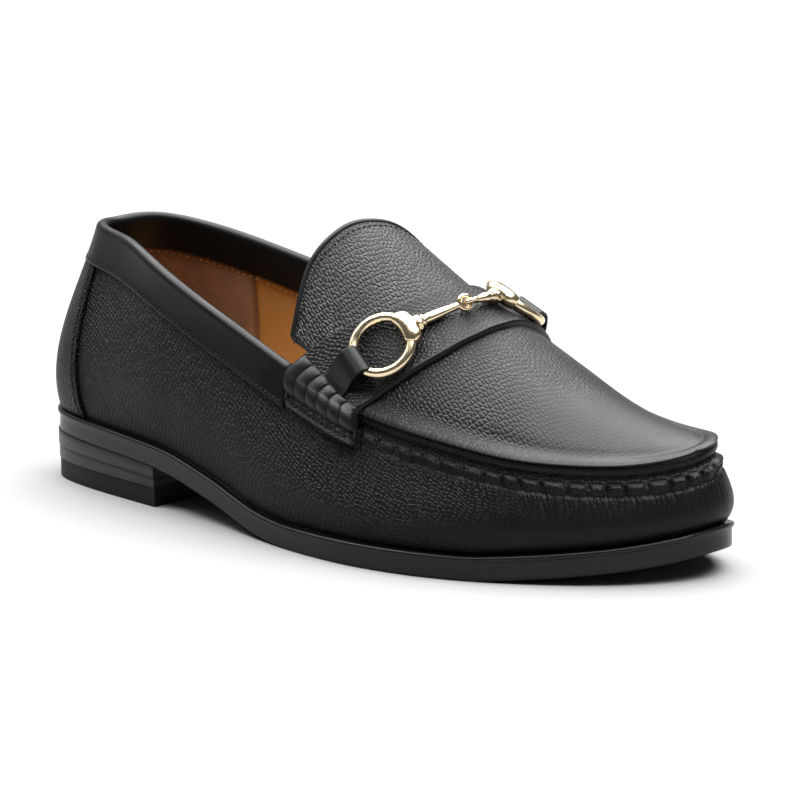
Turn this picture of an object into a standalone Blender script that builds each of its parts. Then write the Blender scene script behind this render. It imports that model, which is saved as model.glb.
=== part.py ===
"""Bit loafer, right shoe: outsole, stacked heel, hollow upper, tongue, saddle and snaffle bit.

Metres, +Z up. The toe points along +X, the outer (lateral) side along -Y. The origin lies on the
ground under the middle of the heel. The shoe's own stations run from the heel's back (0) to the
toe's tip (1) as shares of the sole's length.
"""

import math

import bmesh
import bpy
import numpy as np
from mathutils import Matrix, Vector

# Driving sizes of the last and the sole.
SOLE_LENGTH = 0.300
BALL_WIDTH = 0.107
HEEL_WIDTH = 0.067
HEEL_STACK = 0.019
TOE_SPRING = 0.0103
SOLE_EDGE = 0.0086
RIM = 0.0035
BACK_RISE = 0.0714
TOE_RISE = 0.0265
INSTEP_ARCH = 0.0286
WALL_BULGE = 0.004
ORIGIN_ALONG = 0.036

# Sizes of the pieces.
CLEARANCE = 0.0003
WALL = 0.0020
EDGE_ROUND = 0.0008
TOP_LIFT = 0.0075
BREAST_ALONG = 0.077
LIFT_TAPER = 0.0010
INSOLE_THICKNESS = 0.0024
BAND_OUTSIDE = 0.0135
BAND_INSIDE = 0.0120
BAND_THICKNESS = 0.0010
COUNTER_THICKNESS = 0.0011
TONGUE_THICKNESS = 0.0022
SADDLE_THICKNESS = 0.0020
ROLL_HEIGHT = 0.0036
ROLL_RIB = 0.0008
ROLL_ABOVE = 0.0030
ROLL_BELOW = 0.0070
TAB_BELOW = 0.0125
TAB_THICKNESS = 0.0012
SEAM_BEAD = 0.0015
SEAM_PUCKER = 0.0011
SEAM_GROOVE = 0.0005
RING_RADIUS = 0.0108
RING_WIRE = 0.0016
KEEPER_WIDTH = 0.0115
KEEPER_LENGTH = 0.0125
KEEPER_LEATHER = 0.0011
BAR_ROOT = 0.0021
BAR_TIP = 0.0013
EYE_RADIUS = 0.0024
EYE_WIRE = 0.0009
CUP_LENGTH = 0.0135
CUP_WIDTH = 0.0080

# How finely the pieces are cut.
REAR_STATIONS = 13
HEEL_STATIONS = 8
SEAM_STATIONS = 18
ACROSS = (0.075, 0.15, 0.25, 0.36, 0.47, 0.58, 0.69, 0.79, 0.87, 0.935)
RIBS = 6
RING_STEPS = 24
WIRE_STEPS = 8

# Sections round the shoe, from the back, along the lateral side, round the toe and back along the
# medial side. Each has the sole's edge (along, across), the top edge of the upper's wall (along,
# across, rise above the sole), the bulge of the wall and the rim outside it. Lengths are shares:
# along of SOLE_LENGTH, across of HEEL_WIDTH or BALL_WIDTH, rise of BACK_RISE or TOE_RISE, bulge
# of WALL_BULGE, rim of RIM.
COLUMNS = ("foot_along", "foot_across", "top_along", "top_across", "rise", "bulge", "rim")
LATERAL_COLLAR = (
    (0.000, 0.030, 0.062, 0.067, 1.000, 1.0, 0.7),
    (0.008, -0.164, 0.068, -0.075, 1.004, 1.0, 0.7),
    (0.037, -0.328, 0.090, -0.187, 1.001, 1.0, 0.7),
    (0.083, -0.425, 0.127, -0.261, 0.993, 1.0, 0.7),
    (0.150, -0.493, 0.173, -0.343, 0.982, 1.1, 0.7),
    (0.233, -0.552, 0.240, -0.463, 0.927, 1.2, 0.7),
    (0.317, -0.612, 0.317, -0.545, 0.862, 1.2, 0.7),
    (0.400, -0.687, 0.397, -0.590, 0.819, 1.2, 0.8),
    (0.483, -0.776, 0.473, -0.619, 0.770, 1.2, 0.9),
)
VAMP = (
    (0.567, -0.528, 0.547, -0.397, 1.808, 1.1, 1.0),
    (0.643, -0.537, 0.613, -0.402, 1.581, 1.0, 1.0),
    (0.717, -0.509, 0.683, -0.397, 1.442, 1.0, 1.0),
    (0.787, -0.444, 0.750, -0.374, 1.328, 1.0, 1.0),
    (0.853, -0.346, 0.813, -0.304, 1.166, 1.0, 1.0),
    (0.913, -0.229, 0.880, -0.201, 1.038, 1.0, 1.0),
    (0.963, -0.084, 0.933, -0.075, 0.974, 1.0, 1.0),
    (0.993, 0.075, 0.968, 0.065, 1.000, 1.0, 1.0),
    (0.990, 0.206, 0.965, 0.187, 1.098, 1.0, 1.0),
    (0.957, 0.318, 0.930, 0.262, 1.162, 1.0, 1.0),
    (0.893, 0.407, 0.873, 0.308, 1.246, 1.0, 1.0),
    (0.810, 0.458, 0.800, 0.346, 1.445, 1.0, 1.0),
    (0.717, 0.463, 0.707, 0.374, 1.694, 1.0, 1.0),
    (0.627, 0.421, 0.633, 0.383, 1.921, 0.9, 1.0),
    (0.533, 0.355, 0.550, 0.379, 2.185, 0.8, 1.0),
)
MEDIAL_COLLAR = (
    (0.433, 0.485, 0.457, 0.575, 0.886, 0.8, 0.8),
    (0.333, 0.463, 0.350, 0.545, 0.888, 0.9, 0.7),
    (0.233, 0.493, 0.250, 0.500, 0.918, 1.0, 0.7),
    (0.150, 0.507, 0.167, 0.448, 0.971, 1.0, 0.7),
    (0.073, 0.448, 0.100, 0.343, 1.008, 1.0, 0.7),
    (0.023, 0.284, 0.070, 0.201, 1.010, 1.0, 0.7),
)
TIP_SECTION = 16.4

# The sole's underside: along, height as a share of HEEL_STACK, height as a share of TOE_SPRING.
UNDERSIDE = (
    (0.000, 1.000, 0.0),
    (0.257, 0.789, 0.0),
    (0.293, 0.716, 0.0),
    (0.333, 0.579, 0.0),
    (0.387, 0.384, 0.0),
    (0.417, 0.253, 0.0),
    (0.467, 0.079, 0.0),
    (0.527, 0.000, 0.0),
    (0.773, 0.000, 0.0),
    (0.827, 0.000, 0.117),
    (0.880, 0.000, 0.282),
    (0.927, 0.000, 0.466),
    (0.970, 0.000, 0.718),
    (1.000, 0.000, 1.000),
)

# The instep's arch above its two edges: along, height as a share of INSTEP_ARCH.
ARCH = (
    (0.433, 1.923),
    (0.483, 1.748),
    (0.550, 1.524),
    (0.633, 1.220),
    (0.710, 1.000),
    (0.773, 0.776),
    (0.833, 0.500),
    (0.900, 0.262),
    (0.957, 0.063),
    (0.973, 0.000),
)
ARCH_ROUND = 2.2

# The saddle's two edges across the instep: share across, rear edge along, front edge along.
SADDLE_EDGES = (
    (0.00, 0.497, 0.613),
    (0.12, 0.550, 0.660),
    (0.25, 0.597, 0.692),
    (0.40, 0.622, 0.708),
    (0.55, 0.632, 0.712),
    (0.70, 0.630, 0.711),
    (0.85, 0.605, 0.703),
    (1.00, 0.560, 0.677),
)
# The tongue's free edge: share across, along.
TONGUE_EDGE = (
    (0.045, 0.490),
    (0.170, 0.484),
    (0.330, 0.497),
    (0.500, 0.513),
    (0.670, 0.527),
    (0.830, 0.537),
    (0.955, 0.560),
)
BIT_CENTRE = 0.44
BIT_SPREAD = 0.29


def periodic_spline(values):
    """Returns a smooth closed curve through the rows, read at a row number with fractions."""
    rows = np.asarray(values, float)
    count = len(rows)
    system = np.zeros((count, count))
    for i in range(count):
        system[i, i] = 4.0
        system[i, (i - 1) % count] += 1.0
        system[i, (i + 1) % count] += 1.0
    right = 3.0 * (np.roll(rows, -1, axis=0) - np.roll(rows, 1, axis=0))
    slopes = np.linalg.solve(system, right)

    def read(u):
        i = int(math.floor(u))
        f = u - i
        a, b = i % count, (i + 1) % count
        f2, f3 = f * f, f * f * f
        return (
            (2 * f3 - 3 * f2 + 1) * rows[a]
            + (f3 - 2 * f2 + f) * slopes[a]
            + (3 * f2 - 2 * f3) * rows[b]
            + (f3 - f2) * slopes[b]
        )

    return read


def monotone_curve(xs, ys):
    """Returns a smooth curve through points that never overshoots them, so flats stay flat."""
    xs, ys = np.asarray(xs, float), np.asarray(ys, float)
    steps = np.diff(xs)
    grades = np.diff(ys) / steps
    slopes = np.zeros(len(xs))
    for i in range(1, len(xs) - 1):
        if grades[i - 1] * grades[i] > 0:
            first, second = 2 * steps[i] + steps[i - 1], steps[i] + 2 * steps[i - 1]
            slopes[i] = (first + second) / (first / grades[i - 1] + second / grades[i])
    slopes[0], slopes[-1] = grades[0], grades[-1]

    def read(x):
        x = min(max(x, xs[0]), xs[-1])
        i = min(max(int(np.searchsorted(xs, x)) - 1, 0), len(steps) - 1)
        f = (x - xs[i]) / steps[i]
        f2, f3 = f * f, f * f * f
        return (
            (2 * f3 - 3 * f2 + 1) * ys[i]
            + (f3 - 2 * f2 + f) * steps[i] * slopes[i]
            + (3 * f2 - 2 * f3) * ys[i + 1]
            + (f3 - f2) * steps[i] * slopes[i + 1]
        )

    return read


def station_x(along):
    return along * SOLE_LENGTH - ORIGIN_ALONG


UNDERSIDE_CURVE = monotone_curve(
    [station_x(row[0]) for row in UNDERSIDE],
    [row[1] * HEEL_STACK + row[2] * TOE_SPRING for row in UNDERSIDE],
)


def sole_top(x):
    return UNDERSIDE_CURVE(x) + SOLE_EDGE


def section_sizes():
    """The section tables in metres: foot x, foot y, top x, top y, top z, bulge, rim."""
    sizes = []
    groups = (
        (LATERAL_COLLAR, HEEL_WIDTH, BACK_RISE),
        (VAMP, BALL_WIDTH, TOE_RISE),
        (MEDIAL_COLLAR, HEEL_WIDTH, BACK_RISE),
    )
    for rows, width, rise in groups:
        for values in rows:
            row = dict(zip(COLUMNS, values))
            top_x = station_x(row["top_along"])
            sizes.append(
                (
                    station_x(row["foot_along"]),
                    row["foot_across"] * width,
                    top_x,
                    row["top_across"] * width,
                    sole_top(top_x) + row["rise"] * rise,
                    row["bulge"] * WALL_BULGE,
                    row["rim"] * RIM,
                )
            )
    return sizes


SECTION_SIZES = section_sizes()
SECTIONS = len(SECTION_SIZES)
SECTION = periodic_spline(SECTION_SIZES)
STEP = 0.01


def lateral(share):
    """The section number at a share of the way from the back to the toe's tip, lateral side."""
    return TIP_SECTION * share


def medial(share):
    return SECTIONS - (SECTIONS - TIP_SECTION) * share


def outward(u):
    """The sole edge's outward direction in plan."""
    run = (SECTION(u + STEP) - SECTION(u - STEP))[:2]
    return np.array([run[1], -run[0]]) / np.linalg.norm(run)


def sole_edge(u, inset):
    row = SECTION(u)
    return row[:2] - outward(u) * inset


def wall_base(u, t):
    """A point of the wall's outer face, t from 0 at its foot to 1 at its top edge."""
    row = SECTION(u)
    foot = sole_edge(u, row[6])
    lean = t**1.35
    swell = 6.75 * t * (1 - t) ** 2 * row[5]
    plan = foot + (row[2:4] - foot) * lean + outward(u) * swell
    floor = sole_top(foot[0]) + CLEARANCE
    return np.array([plan[0], plan[1], floor + (row[4] - floor) * t])


def wall_normal(u, t):
    low, high = max(t - STEP, 0.0), min(t + STEP, 1.0)
    across = wall_base(u, high) - wall_base(u, low)
    around = wall_base(u + STEP, t) - wall_base(u - STEP, t)
    normal = np.cross(around, across)
    return normal / np.linalg.norm(normal)


def wall_height(u):
    points = [wall_base(u, i / 8) for i in range(9)]
    return sum(np.linalg.norm(b - a) for a, b in zip(points, points[1:]))


def below(u, distance):
    """The share t of the wall that lies a distance below its top edge."""
    return 1.0 - distance / wall_height(u)


def edge_table(side):
    us = [side(share) for share in np.linspace(0.12, 1.0, 160)]
    return np.array([SECTION(u)[2:5] for u in us])


LATERAL_EDGE = edge_table(lateral)
MEDIAL_EDGE = edge_table(medial)
ARCH_CURVE = monotone_curve(
    [station_x(row[0]) for row in ARCH], [row[1] * INSTEP_ARCH for row in ARCH]
)


def edge_at(table, x):
    return np.array([np.interp(x, table[:, 0], table[:, k]) for k in (1, 2)])


def instep_share(x, y):
    left, right = edge_at(LATERAL_EDGE, x)[0], edge_at(MEDIAL_EDGE, x)[0]
    return min(max((y - left) / max(right - left, 1e-6), 0.0), 1.0)


def instep_height(x, y):
    """Height of the instep's outer face: an arch between the wall's two top edges."""
    low, high = edge_at(LATERAL_EDGE, x)[1], edge_at(MEDIAL_EDGE, x)[1]
    share = instep_share(x, y)
    rise = 1.0 - abs(2 * share - 1) ** ARCH_ROUND
    return low + (high - low) * share + ARCH_CURVE(x) * rise


def instep_point(x, share):
    left, right = edge_at(LATERAL_EDGE, x)[0], edge_at(MEDIAL_EDGE, x)[0]
    y = left + (right - left) * share
    return np.array([x, y, instep_height(x, y)])


def instep_normal(x, share):
    share = min(max(share, 0.004), 0.996)
    reach = 0.0004
    along = instep_point(x + reach, share) - instep_point(x - reach, share)
    across = instep_point(x, share + 0.003) - instep_point(x, share - 0.003)
    normal = np.cross(along, across)
    return normal / np.linalg.norm(normal)


def smooth_step(x, low, high):
    f = min(max((x - low) / (high - low), 0.0), 1.0)
    return f * f * (3 - 2 * f)


def material(name, colour, roughness, metallic=0.0):
    made = bpy.data.materials.new(name)
    made.use_nodes = True
    shader = made.node_tree.nodes["Principled BSDF"]
    shader.inputs["Base Color"].default_value = (*colour, 1.0)
    shader.inputs["Roughness"].default_value = roughness
    shader.inputs["Metallic"].default_value = metallic
    made.diffuse_color = (*colour, 1.0)
    return made


def add_object(name, points, faces, finish):
    mesh = bpy.data.meshes.new(name)
    mesh.from_pydata([tuple(map(float, p)) for p in points], [], faces)
    mesh.materials.append(finish)
    solid = bmesh.new()
    solid.from_mesh(mesh)
    bmesh.ops.recalc_face_normals(solid, faces=solid.faces)
    solid.to_mesh(mesh)
    solid.free()
    mesh.shade_smooth()
    mesh.set_sharp_from_angle(angle=math.radians(40))
    piece = bpy.data.objects.new(name, mesh)
    bpy.context.scene.collection.objects.link(piece)
    return piece


def shell(name, outer, inner, faces, finish):
    """A wall between two like surfaces, closed along their free borders."""
    count = len(outer)
    directed = set()
    for face in faces:
        for a, b in zip(face, face[1:] + face[:1]):
            directed.add((a, b))
    walls = [tuple(face) for face in faces]
    walls += [tuple(index + count for index in reversed(face)) for face in faces]
    walls += [(b, a, a + count, b + count) for a, b in sorted(directed) if (b, a) not in directed]
    return add_object(name, list(outer) + list(inner), walls, finish)


def grid_faces(rows, columns, closed=False):
    """Faces of a grid of points listed row by row; closed joins the last column to the first."""
    faces = []
    for r in range(rows - 1):
        for c in range(columns if closed else columns - 1):
            d = (c + 1) % columns
            faces.append((r * columns + c, r * columns + d, (r + 1) * columns + d, (r + 1) * columns + c))
    return faces


def ring_stack(name, rings, heights, finish):
    """A solid of like closed rings; rungs with a middle point, at heights of x, close its two ends."""
    count = len(rings[0])
    points = [p for ring in rings for p in ring]
    faces = grid_faces(len(rings), count, closed=True)
    for first, height, flip in ((0, heights[0], True), ((len(rings) - 1) * count, heights[1], False)):
        middles = []
        for j in range(1, count // 2):
            x, y = (np.add(points[first + j], points[first + count - j]) / 2)[:2]
            middles.append(len(points))
            points.append((x, y, height(x)))
        caps = [(first, first + 1, middles[0]), (first, middles[0], first + count - 1)]
        half = count // 2
        for j in range(1, half - 1):
            low, high = middles[j - 1], middles[j]
            caps.append((first + j, first + j + 1, high, low))
            caps.append((low, high, first + count - j - 1, first + count - j))
        for j in range(half - 1, count - half + 1):
            caps.append((first + j, first + j + 1, middles[-1]))
        faces += [tuple(reversed(cap)) if flip else cap for cap in caps]
    return add_object(name, points, faces, finish)


def stations():
    """Section numbers round the whole shoe, the two sides paired rung by rung from back to tip."""
    halves = []
    for side, back, share in ((lateral, 0.0, 0.0), (medial, float(SECTIONS), 1.0)):
        throat = section_of_top(side, joint_x(share))
        rear = [back + (throat - back) * i / REAR_STATIONS for i in range(REAR_STATIONS)]
        front = []
        for i in range(SEAM_STATIONS):
            ease = 1 - (1 - i / SEAM_STATIONS) ** 1.25
            front.append(throat + (TIP_SECTION - throat) * ease)
        halves.append(rear + front)
    return halves[0] + [TIP_SECTION] + list(reversed(halves[1][1:]))


def sole_ring(numbers, inset, height):
    ring = []
    for u in numbers:
        x, y = sole_edge(u, inset)
        ring.append((x, y, height(x)))
    return ring


def make_outsole(finish):
    numbers = stations()
    underside = UNDERSIDE_CURVE
    profile = (
        (EDGE_ROUND, lambda x: underside(x)),
        (0.0, lambda x: underside(x) + EDGE_ROUND),
        (0.0002, lambda x: underside(x) + SOLE_EDGE * 0.5),
        (0.0, lambda x: underside(x) + SOLE_EDGE - 2 * EDGE_ROUND),
        (0.0002, lambda x: underside(x) + SOLE_EDGE - 0.4 * EDGE_ROUND),
        (EDGE_ROUND, lambda x: underside(x) + SOLE_EDGE),
    )
    rings = [sole_ring(numbers, *row) for row in profile]
    return ring_stack("outsole", rings, (profile[0][1], profile[-1][1]), finish)


def heel_numbers():
    """Section numbers from breast to breast round the heel's back."""
    breast = station_x(0) + BREAST_ALONG
    halves = []
    for side in (lateral, medial):
        low, high = 0.0, 0.6
        for _ in range(40):
            middle = (low + high) / 2
            if sole_edge(side(middle), 0.0)[0] < breast:
                low = middle
            else:
                high = middle
        halves.append([side(low * k / HEEL_STATIONS) for k in range(HEEL_STATIONS + 1)])
    return halves[0] + list(reversed(halves[1][1:]))


def make_heel(lift_finish, rubber_finish):
    numbers = heel_numbers()

    def stack_top(x):
        return UNDERSIDE_CURVE(x) - CLEARANCE

    def taper(height):
        return LIFT_TAPER * (1 - height / HEEL_STACK)

    def layer(name, low, high, finish):
        soft = 0.3 * EDGE_ROUND
        profile = (
            (soft, low),
            (0.0, lambda x: low(x) + soft),
            (0.0, lambda x: high(x) - soft),
            (soft, high),
        )
        middle = station_x(0) + BREAST_ALONG / 2
        inset = taper((low(middle) + high(middle)) / 2)
        rings = [sole_ring(numbers, inset + more, height) for more, height in profile]
        return ring_stack(name, rings, (low, high), finish)

    def split(x):
        return TOP_LIFT + (stack_top(x) - TOP_LIFT) / 2

    layer("top_lift", lambda x: 0.0, lambda x: TOP_LIFT, rubber_finish)
    layer("heel_lift_2", lambda x: TOP_LIFT + CLEARANCE, split, lift_finish)
    layer("heel_lift_1", lambda x: split(x) + CLEARANCE, stack_top, lift_finish)


def make_insole(finish):
    numbers = stations()

    def ring(height):
        points = []
        for u in numbers:
            inset = SECTION(u)[6] + WALL + 2 * CLEARANCE
            x, y = sole_edge(u, inset)
            points.append((x, y, height(x)))
        return points


    def low(x):
        return sole_top(x) + 2 * CLEARANCE

    def high(x):
        return low(x) + INSOLE_THICKNESS

    return ring_stack("insole", [ring(low), ring(high)], (low, high), finish)


def joint_x(share):
    """Where the apron meets the tongue, under the middle of the saddle."""
    shares = [row[0] for row in SADDLE_EDGES]
    middles = [(row[1] + row[2]) / 2 for row in SADDLE_EDGES]
    return station_x(monotone_curve(shares, middles)(share))


def section_of_top(side, x):
    """The section number on one side whose top edge lies at x."""
    low, high = 0.1, 1.0
    for _ in range(40):
        middle = (low + high) / 2
        if SECTION(side(middle))[2] < x:
            low = middle
        else:
            high = middle
    return side(low)


def seam_fade(u):
    """How far the raised seam has grown out of the plain wall: 0 under the saddle, 1 ahead."""
    tip_ward = u if u < TIP_SECTION else (SECTIONS - u) * TIP_SECTION / (SECTIONS - TIP_SECTION)
    return smooth_step(tip_ward, 8.6, 9.6)


# The raised seam, going down from the wall's top edge: distance, height in units of its own step.
SEAM_STEPS = (
    (0.0000, "bead", 0.95),
    (0.0014, "bead", 1.00),
    (0.0028, "bead", 0.75),
    (0.0036, "groove", -1.0),
    (0.0050, "pucker", 0.85),
    (0.0066, "pucker", 1.00),
    (0.0082, "pucker", 0.45),
    (0.0090, "groove", -0.8),
    (0.0104, "groove", 0.0),
)
WALL_ROWS = (0.0, 0.06, 0.14, 0.26, 0.42, 0.60, 0.80)


def seam_height(kind, share):
    return {"bead": SEAM_BEAD, "groove": SEAM_GROOVE, "pucker": SEAM_PUCKER}[kind] * share


def make_upper(finish):
    numbers = stations()
    count = len(numbers)
    outer, inner, rows, faces = [], [], [], []

    def add(point, normal):
        outer.append(point)
        inner.append(point - normal * WALL)
        return len(outer) - 1

    for share in WALL_ROWS:
        row = []
        for u in numbers:
            t = below(u, SEAM_STEPS[-1][0]) * share
            row.append(add(wall_base(u, t), wall_normal(u, t)))
        rows.append(row)
    for index in rows[0]:
        inner[index][2] = sole_top(inner[index][0]) + CLEARANCE
    for distance, kind, share in reversed(SEAM_STEPS):
        row = []
        for u in numbers:
            t = below(u, distance)
            point, normal = wall_base(u, t), wall_normal(u, t)
            row.append(add(point, normal))
            outer[-1] = point + normal * seam_height(kind, share) * seam_fade(u)
        rows.append(row)
    for low, high in zip(rows, rows[1:]):
        for c in range(count):
            d = (c + 1) % count
            faces.append((low[c], low[d], high[d], high[c]))

    # The bead along the top edge leans halfway between the wall and the apron.
    seam = rows[-1][REAR_STATIONS : REAR_STATIONS + 2 * SEAM_STATIONS + 1]
    seam_numbers = numbers[REAR_STATIONS : REAR_STATIONS + 2 * SEAM_STATIONS + 1]
    for index, u in zip(seam, seam_numbers):
        base = wall_base(u, 1.0)
        lean = wall_normal(u, 1.0) + apron_normal(base[0], base[1])
        lean /= np.linalg.norm(lean)
        outer[index] = base + lean * SEAM_BEAD * seam_fade(u)
        inner[index] = base - lean * WALL

    def rung_x(j, share):
        """Along a rung of the apron: the first follows the tongue's joint, the last ones are straight."""
        near, far = SECTION(seam_numbers[j])[2], SECTION(seam_numbers[-1 - j])[2]
        ease = 1 - smooth_step(j, 0, SEAM_STATIONS * 0.75)
        bow = joint_x(share) - joint_x(0.0) * (1 - share) - joint_x(1.0) * share
        return near * (1 - share) + far * share + bow * ease

    rings = [seam]
    for inset, height in ((0.0014, 0.55 * SEAM_BEAD), (0.0026, 0.0)):
        ring = []
        for k, u in enumerate(seam_numbers):
            top = SECTION(u)
            run = (SECTION(u + STEP) - SECTION(u - STEP))[2:4]
            x, y = top[2:4] + np.array([-run[1], run[0]]) / np.linalg.norm(run) * inset
            j = min(k, 2 * SEAM_STATIONS - k)
            if j < SEAM_STATIONS / 2:
                x += rung_x(j, instep_share(x, y)) - rung_x(j, 0.0 if k < SEAM_STATIONS else 1.0)
            base = np.array([x, y, instep_height(x, y)])
            ring.append(add(base, apron_normal(x, y)))
            outer[-1] = base + np.array([0, 0, height * seam_fade(u)])
        rings.append(ring)
    for low, high in zip(rings, rings[1:]):
        for c in range(len(seam) - 1):
            faces.append((low[c], low[c + 1], high[c + 1], high[c]))
    edge, previous = rings[-1], None
    for j in range(SEAM_STATIONS):
        near, far = outer[edge[j]], outer[edge[-1 - j]]
        first, last = instep_share(near[0], near[1]), instep_share(far[0], far[1])
        squeeze = smooth_step(j, 0, SEAM_STATIONS / 2)
        rung = [edge[j]]
        for share in ACROSS:
            share += (first + (last - first) * share - share) * squeeze
            base = instep_point(rung_x(j, share), share)
            if j >= SEAM_STATIONS / 2:
                x, y = (near + (far - near) * (share - first) / (last - first))[:2]
                base = np.array([x, y, instep_height(x, y)])
            rung.append(add(base, apron_normal(base[0], base[1])))
        rung.append(edge[-1 - j])
        if previous:
            for low, high, right, left in zip(previous, rung, rung[1:], previous[1:]):
                faces.append((low, high, right, left))
        previous = rung
    for low, high in zip(previous, previous[1:]):
        faces.append((low, edge[SEAM_STATIONS], high))
    return shell("upper", outer, inner, faces, finish)


def apron_normal(x, y):
    reach = 0.0006
    slope_x = (instep_height(x + reach, y) - instep_height(x - reach, y)) / (2 * reach)
    slope_y = (instep_height(x, y + reach) - instep_height(x, y - reach)) / (2 * reach)
    limit = 1.6
    slope_x = min(max(slope_x, -limit), limit)
    slope_y = min(max(slope_y, -limit), limit)
    normal = np.array([-slope_x, -slope_y, 1.0])
    return normal / np.linalg.norm(normal)


def make_tongue(finish):
    rows = 8
    edge = monotone_curve([row[0] for row in TONGUE_EDGE], [row[1] for row in TONGUE_EDGE])
    shares = (TONGUE_EDGE[0][0], *ACROSS, TONGUE_EDGE[-1][0])
    outer, inner = [], []
    for r in range(rows):
        for share in shares:
            front = joint_x(share) - 2 * CLEARANCE
            rear = station_x(edge(share))
            x = front + (rear - front) * r / (rows - 1)
            point, normal = instep_point(x, share), instep_normal(x, share)
            outer.append(point)
            inner.append(point - normal * TONGUE_THICKNESS)
    return shell("tongue", outer, inner, grid_faces(rows, len(shares)), finish)


def collar_ends():
    """Section numbers of the collar band's two ends, just behind the saddle's rolled ends."""
    start = section_of_top(lateral, station_x(SADDLE_EDGES[0][1]) - 2 * CLEARANCE)
    end = section_of_top(medial, station_x(SADDLE_EDGES[-1][1]) - 2 * CLEARANCE)
    return start, end


def make_collar_band(finish):
    start, end = collar_ends()
    numbers = stations()
    rear_medial = [u - SECTIONS for u in numbers[-REAR_STATIONS:] if u > end + 0.1]
    rear_lateral = [u for u in numbers[:REAR_STATIONS] if u < start - 0.1]
    path = [end - SECTIONS] + rear_medial + rear_lateral + [start]
    outer, inner = [], []
    outside = (BAND_OUTSIDE, BAND_OUTSIDE * 0.5, 0.0009)
    inside = (0.0009, BAND_INSIDE * 0.5, BAND_INSIDE)
    for u in path:
        top, top_normal = wall_base(u, 1.0), wall_normal(u, 1.0)
        up = top - wall_base(u, 0.97)
        up /= np.linalg.norm(up)
        for distance in outside:
            point, normal = wall_base(u, below(u, distance)), wall_normal(u, below(u, distance))
            inner.append(point + normal * CLEARANCE)
            outer.append(point + normal * (CLEARANCE + BAND_THICKNESS))
        for reach, round_off in ((CLEARANCE, 0.5), (-WALL - CLEARANCE, -0.5)):
            corner = top + top_normal * reach + up * CLEARANCE
            inner.append(corner)
            outer.append(corner + (up * 0.9 + top_normal * round_off) * BAND_THICKNESS)
        for distance in inside:
            point, normal = wall_base(u, below(u, distance)), wall_normal(u, below(u, distance))
            inner.append(point - normal * (WALL + CLEARANCE))
            outer.append(point - normal * (WALL + CLEARANCE + BAND_THICKNESS))
    columns = len(outside) + 2 + len(inside)
    return shell("collar_band", outer, inner, grid_faces(len(path), columns), finish)


COUNTER_FOOT = 3.45
COUNTER_TOP = 2.65
COUNTER_LOW = 0.03


def make_heel_counter(finish):
    rows = 7
    numbers = stations()
    around = [u - SECTIONS for u in numbers[-REAR_STATIONS:]] + numbers[:REAR_STATIONS]
    middle = [u for u in around if abs(u) < COUNTER_FOOT - 0.2]
    outer, inner = [], []
    for r in range(rows):
        f = r / (rows - 1)
        reach = COUNTER_FOOT + (COUNTER_TOP - COUNTER_FOOT) * f
        last = len(middle)
        for k, u in enumerate([-COUNTER_FOOT] + middle + [COUNTER_FOOT]):
            room = reach - 0.12 * min(k, last + 1 - k)
            u = min(max(u, -room), room)
            t = COUNTER_LOW + (below(u, BAND_OUTSIDE + 2 * CLEARANCE) - COUNTER_LOW) * f
            point, normal = wall_base(u, t), wall_normal(u, t)
            inner.append(point + normal * CLEARANCE)
            outer.append(point + normal * (CLEARANCE + COUNTER_THICKNESS))
    return shell("heel_counter", outer, inner, grid_faces(rows, len(middle) + 2), finish)


SADDLE_REAR = monotone_curve([row[0] for row in SADDLE_EDGES], [row[1] for row in SADDLE_EDGES])
SADDLE_FRONT = monotone_curve([row[0] for row in SADDLE_EDGES], [row[2] for row in SADDLE_EDGES])
SADDLE_LIFT = 1.6 * CLEARANCE


def saddle_x(share, f):
    """Along the saddle's width at a share across: f from 0 at its rear edge to 1 at its front."""
    return station_x(SADDLE_REAR(share) + (SADDLE_FRONT(share) - SADDLE_REAR(share)) * f)


def saddle_face(share, f):
    """A point of the saddle's outer face and its normal, away from the rolled ends."""
    x = saddle_x(share, f)
    normal = instep_normal(x, share)
    return instep_point(x, share) + normal * (SADDLE_LIFT + SADDLE_THICKNESS), normal


def edge_distance(x, share):
    """How far a point of the instep lies from the nearer top edge, measured over the surface."""
    end = 0.0 if share < 0.5 else 1.0
    points = [instep_point(x, end + (share - end) * i / 6) for i in range(7)]
    return sum(np.linalg.norm(b - a) for a, b in zip(points, points[1:]))


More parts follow.
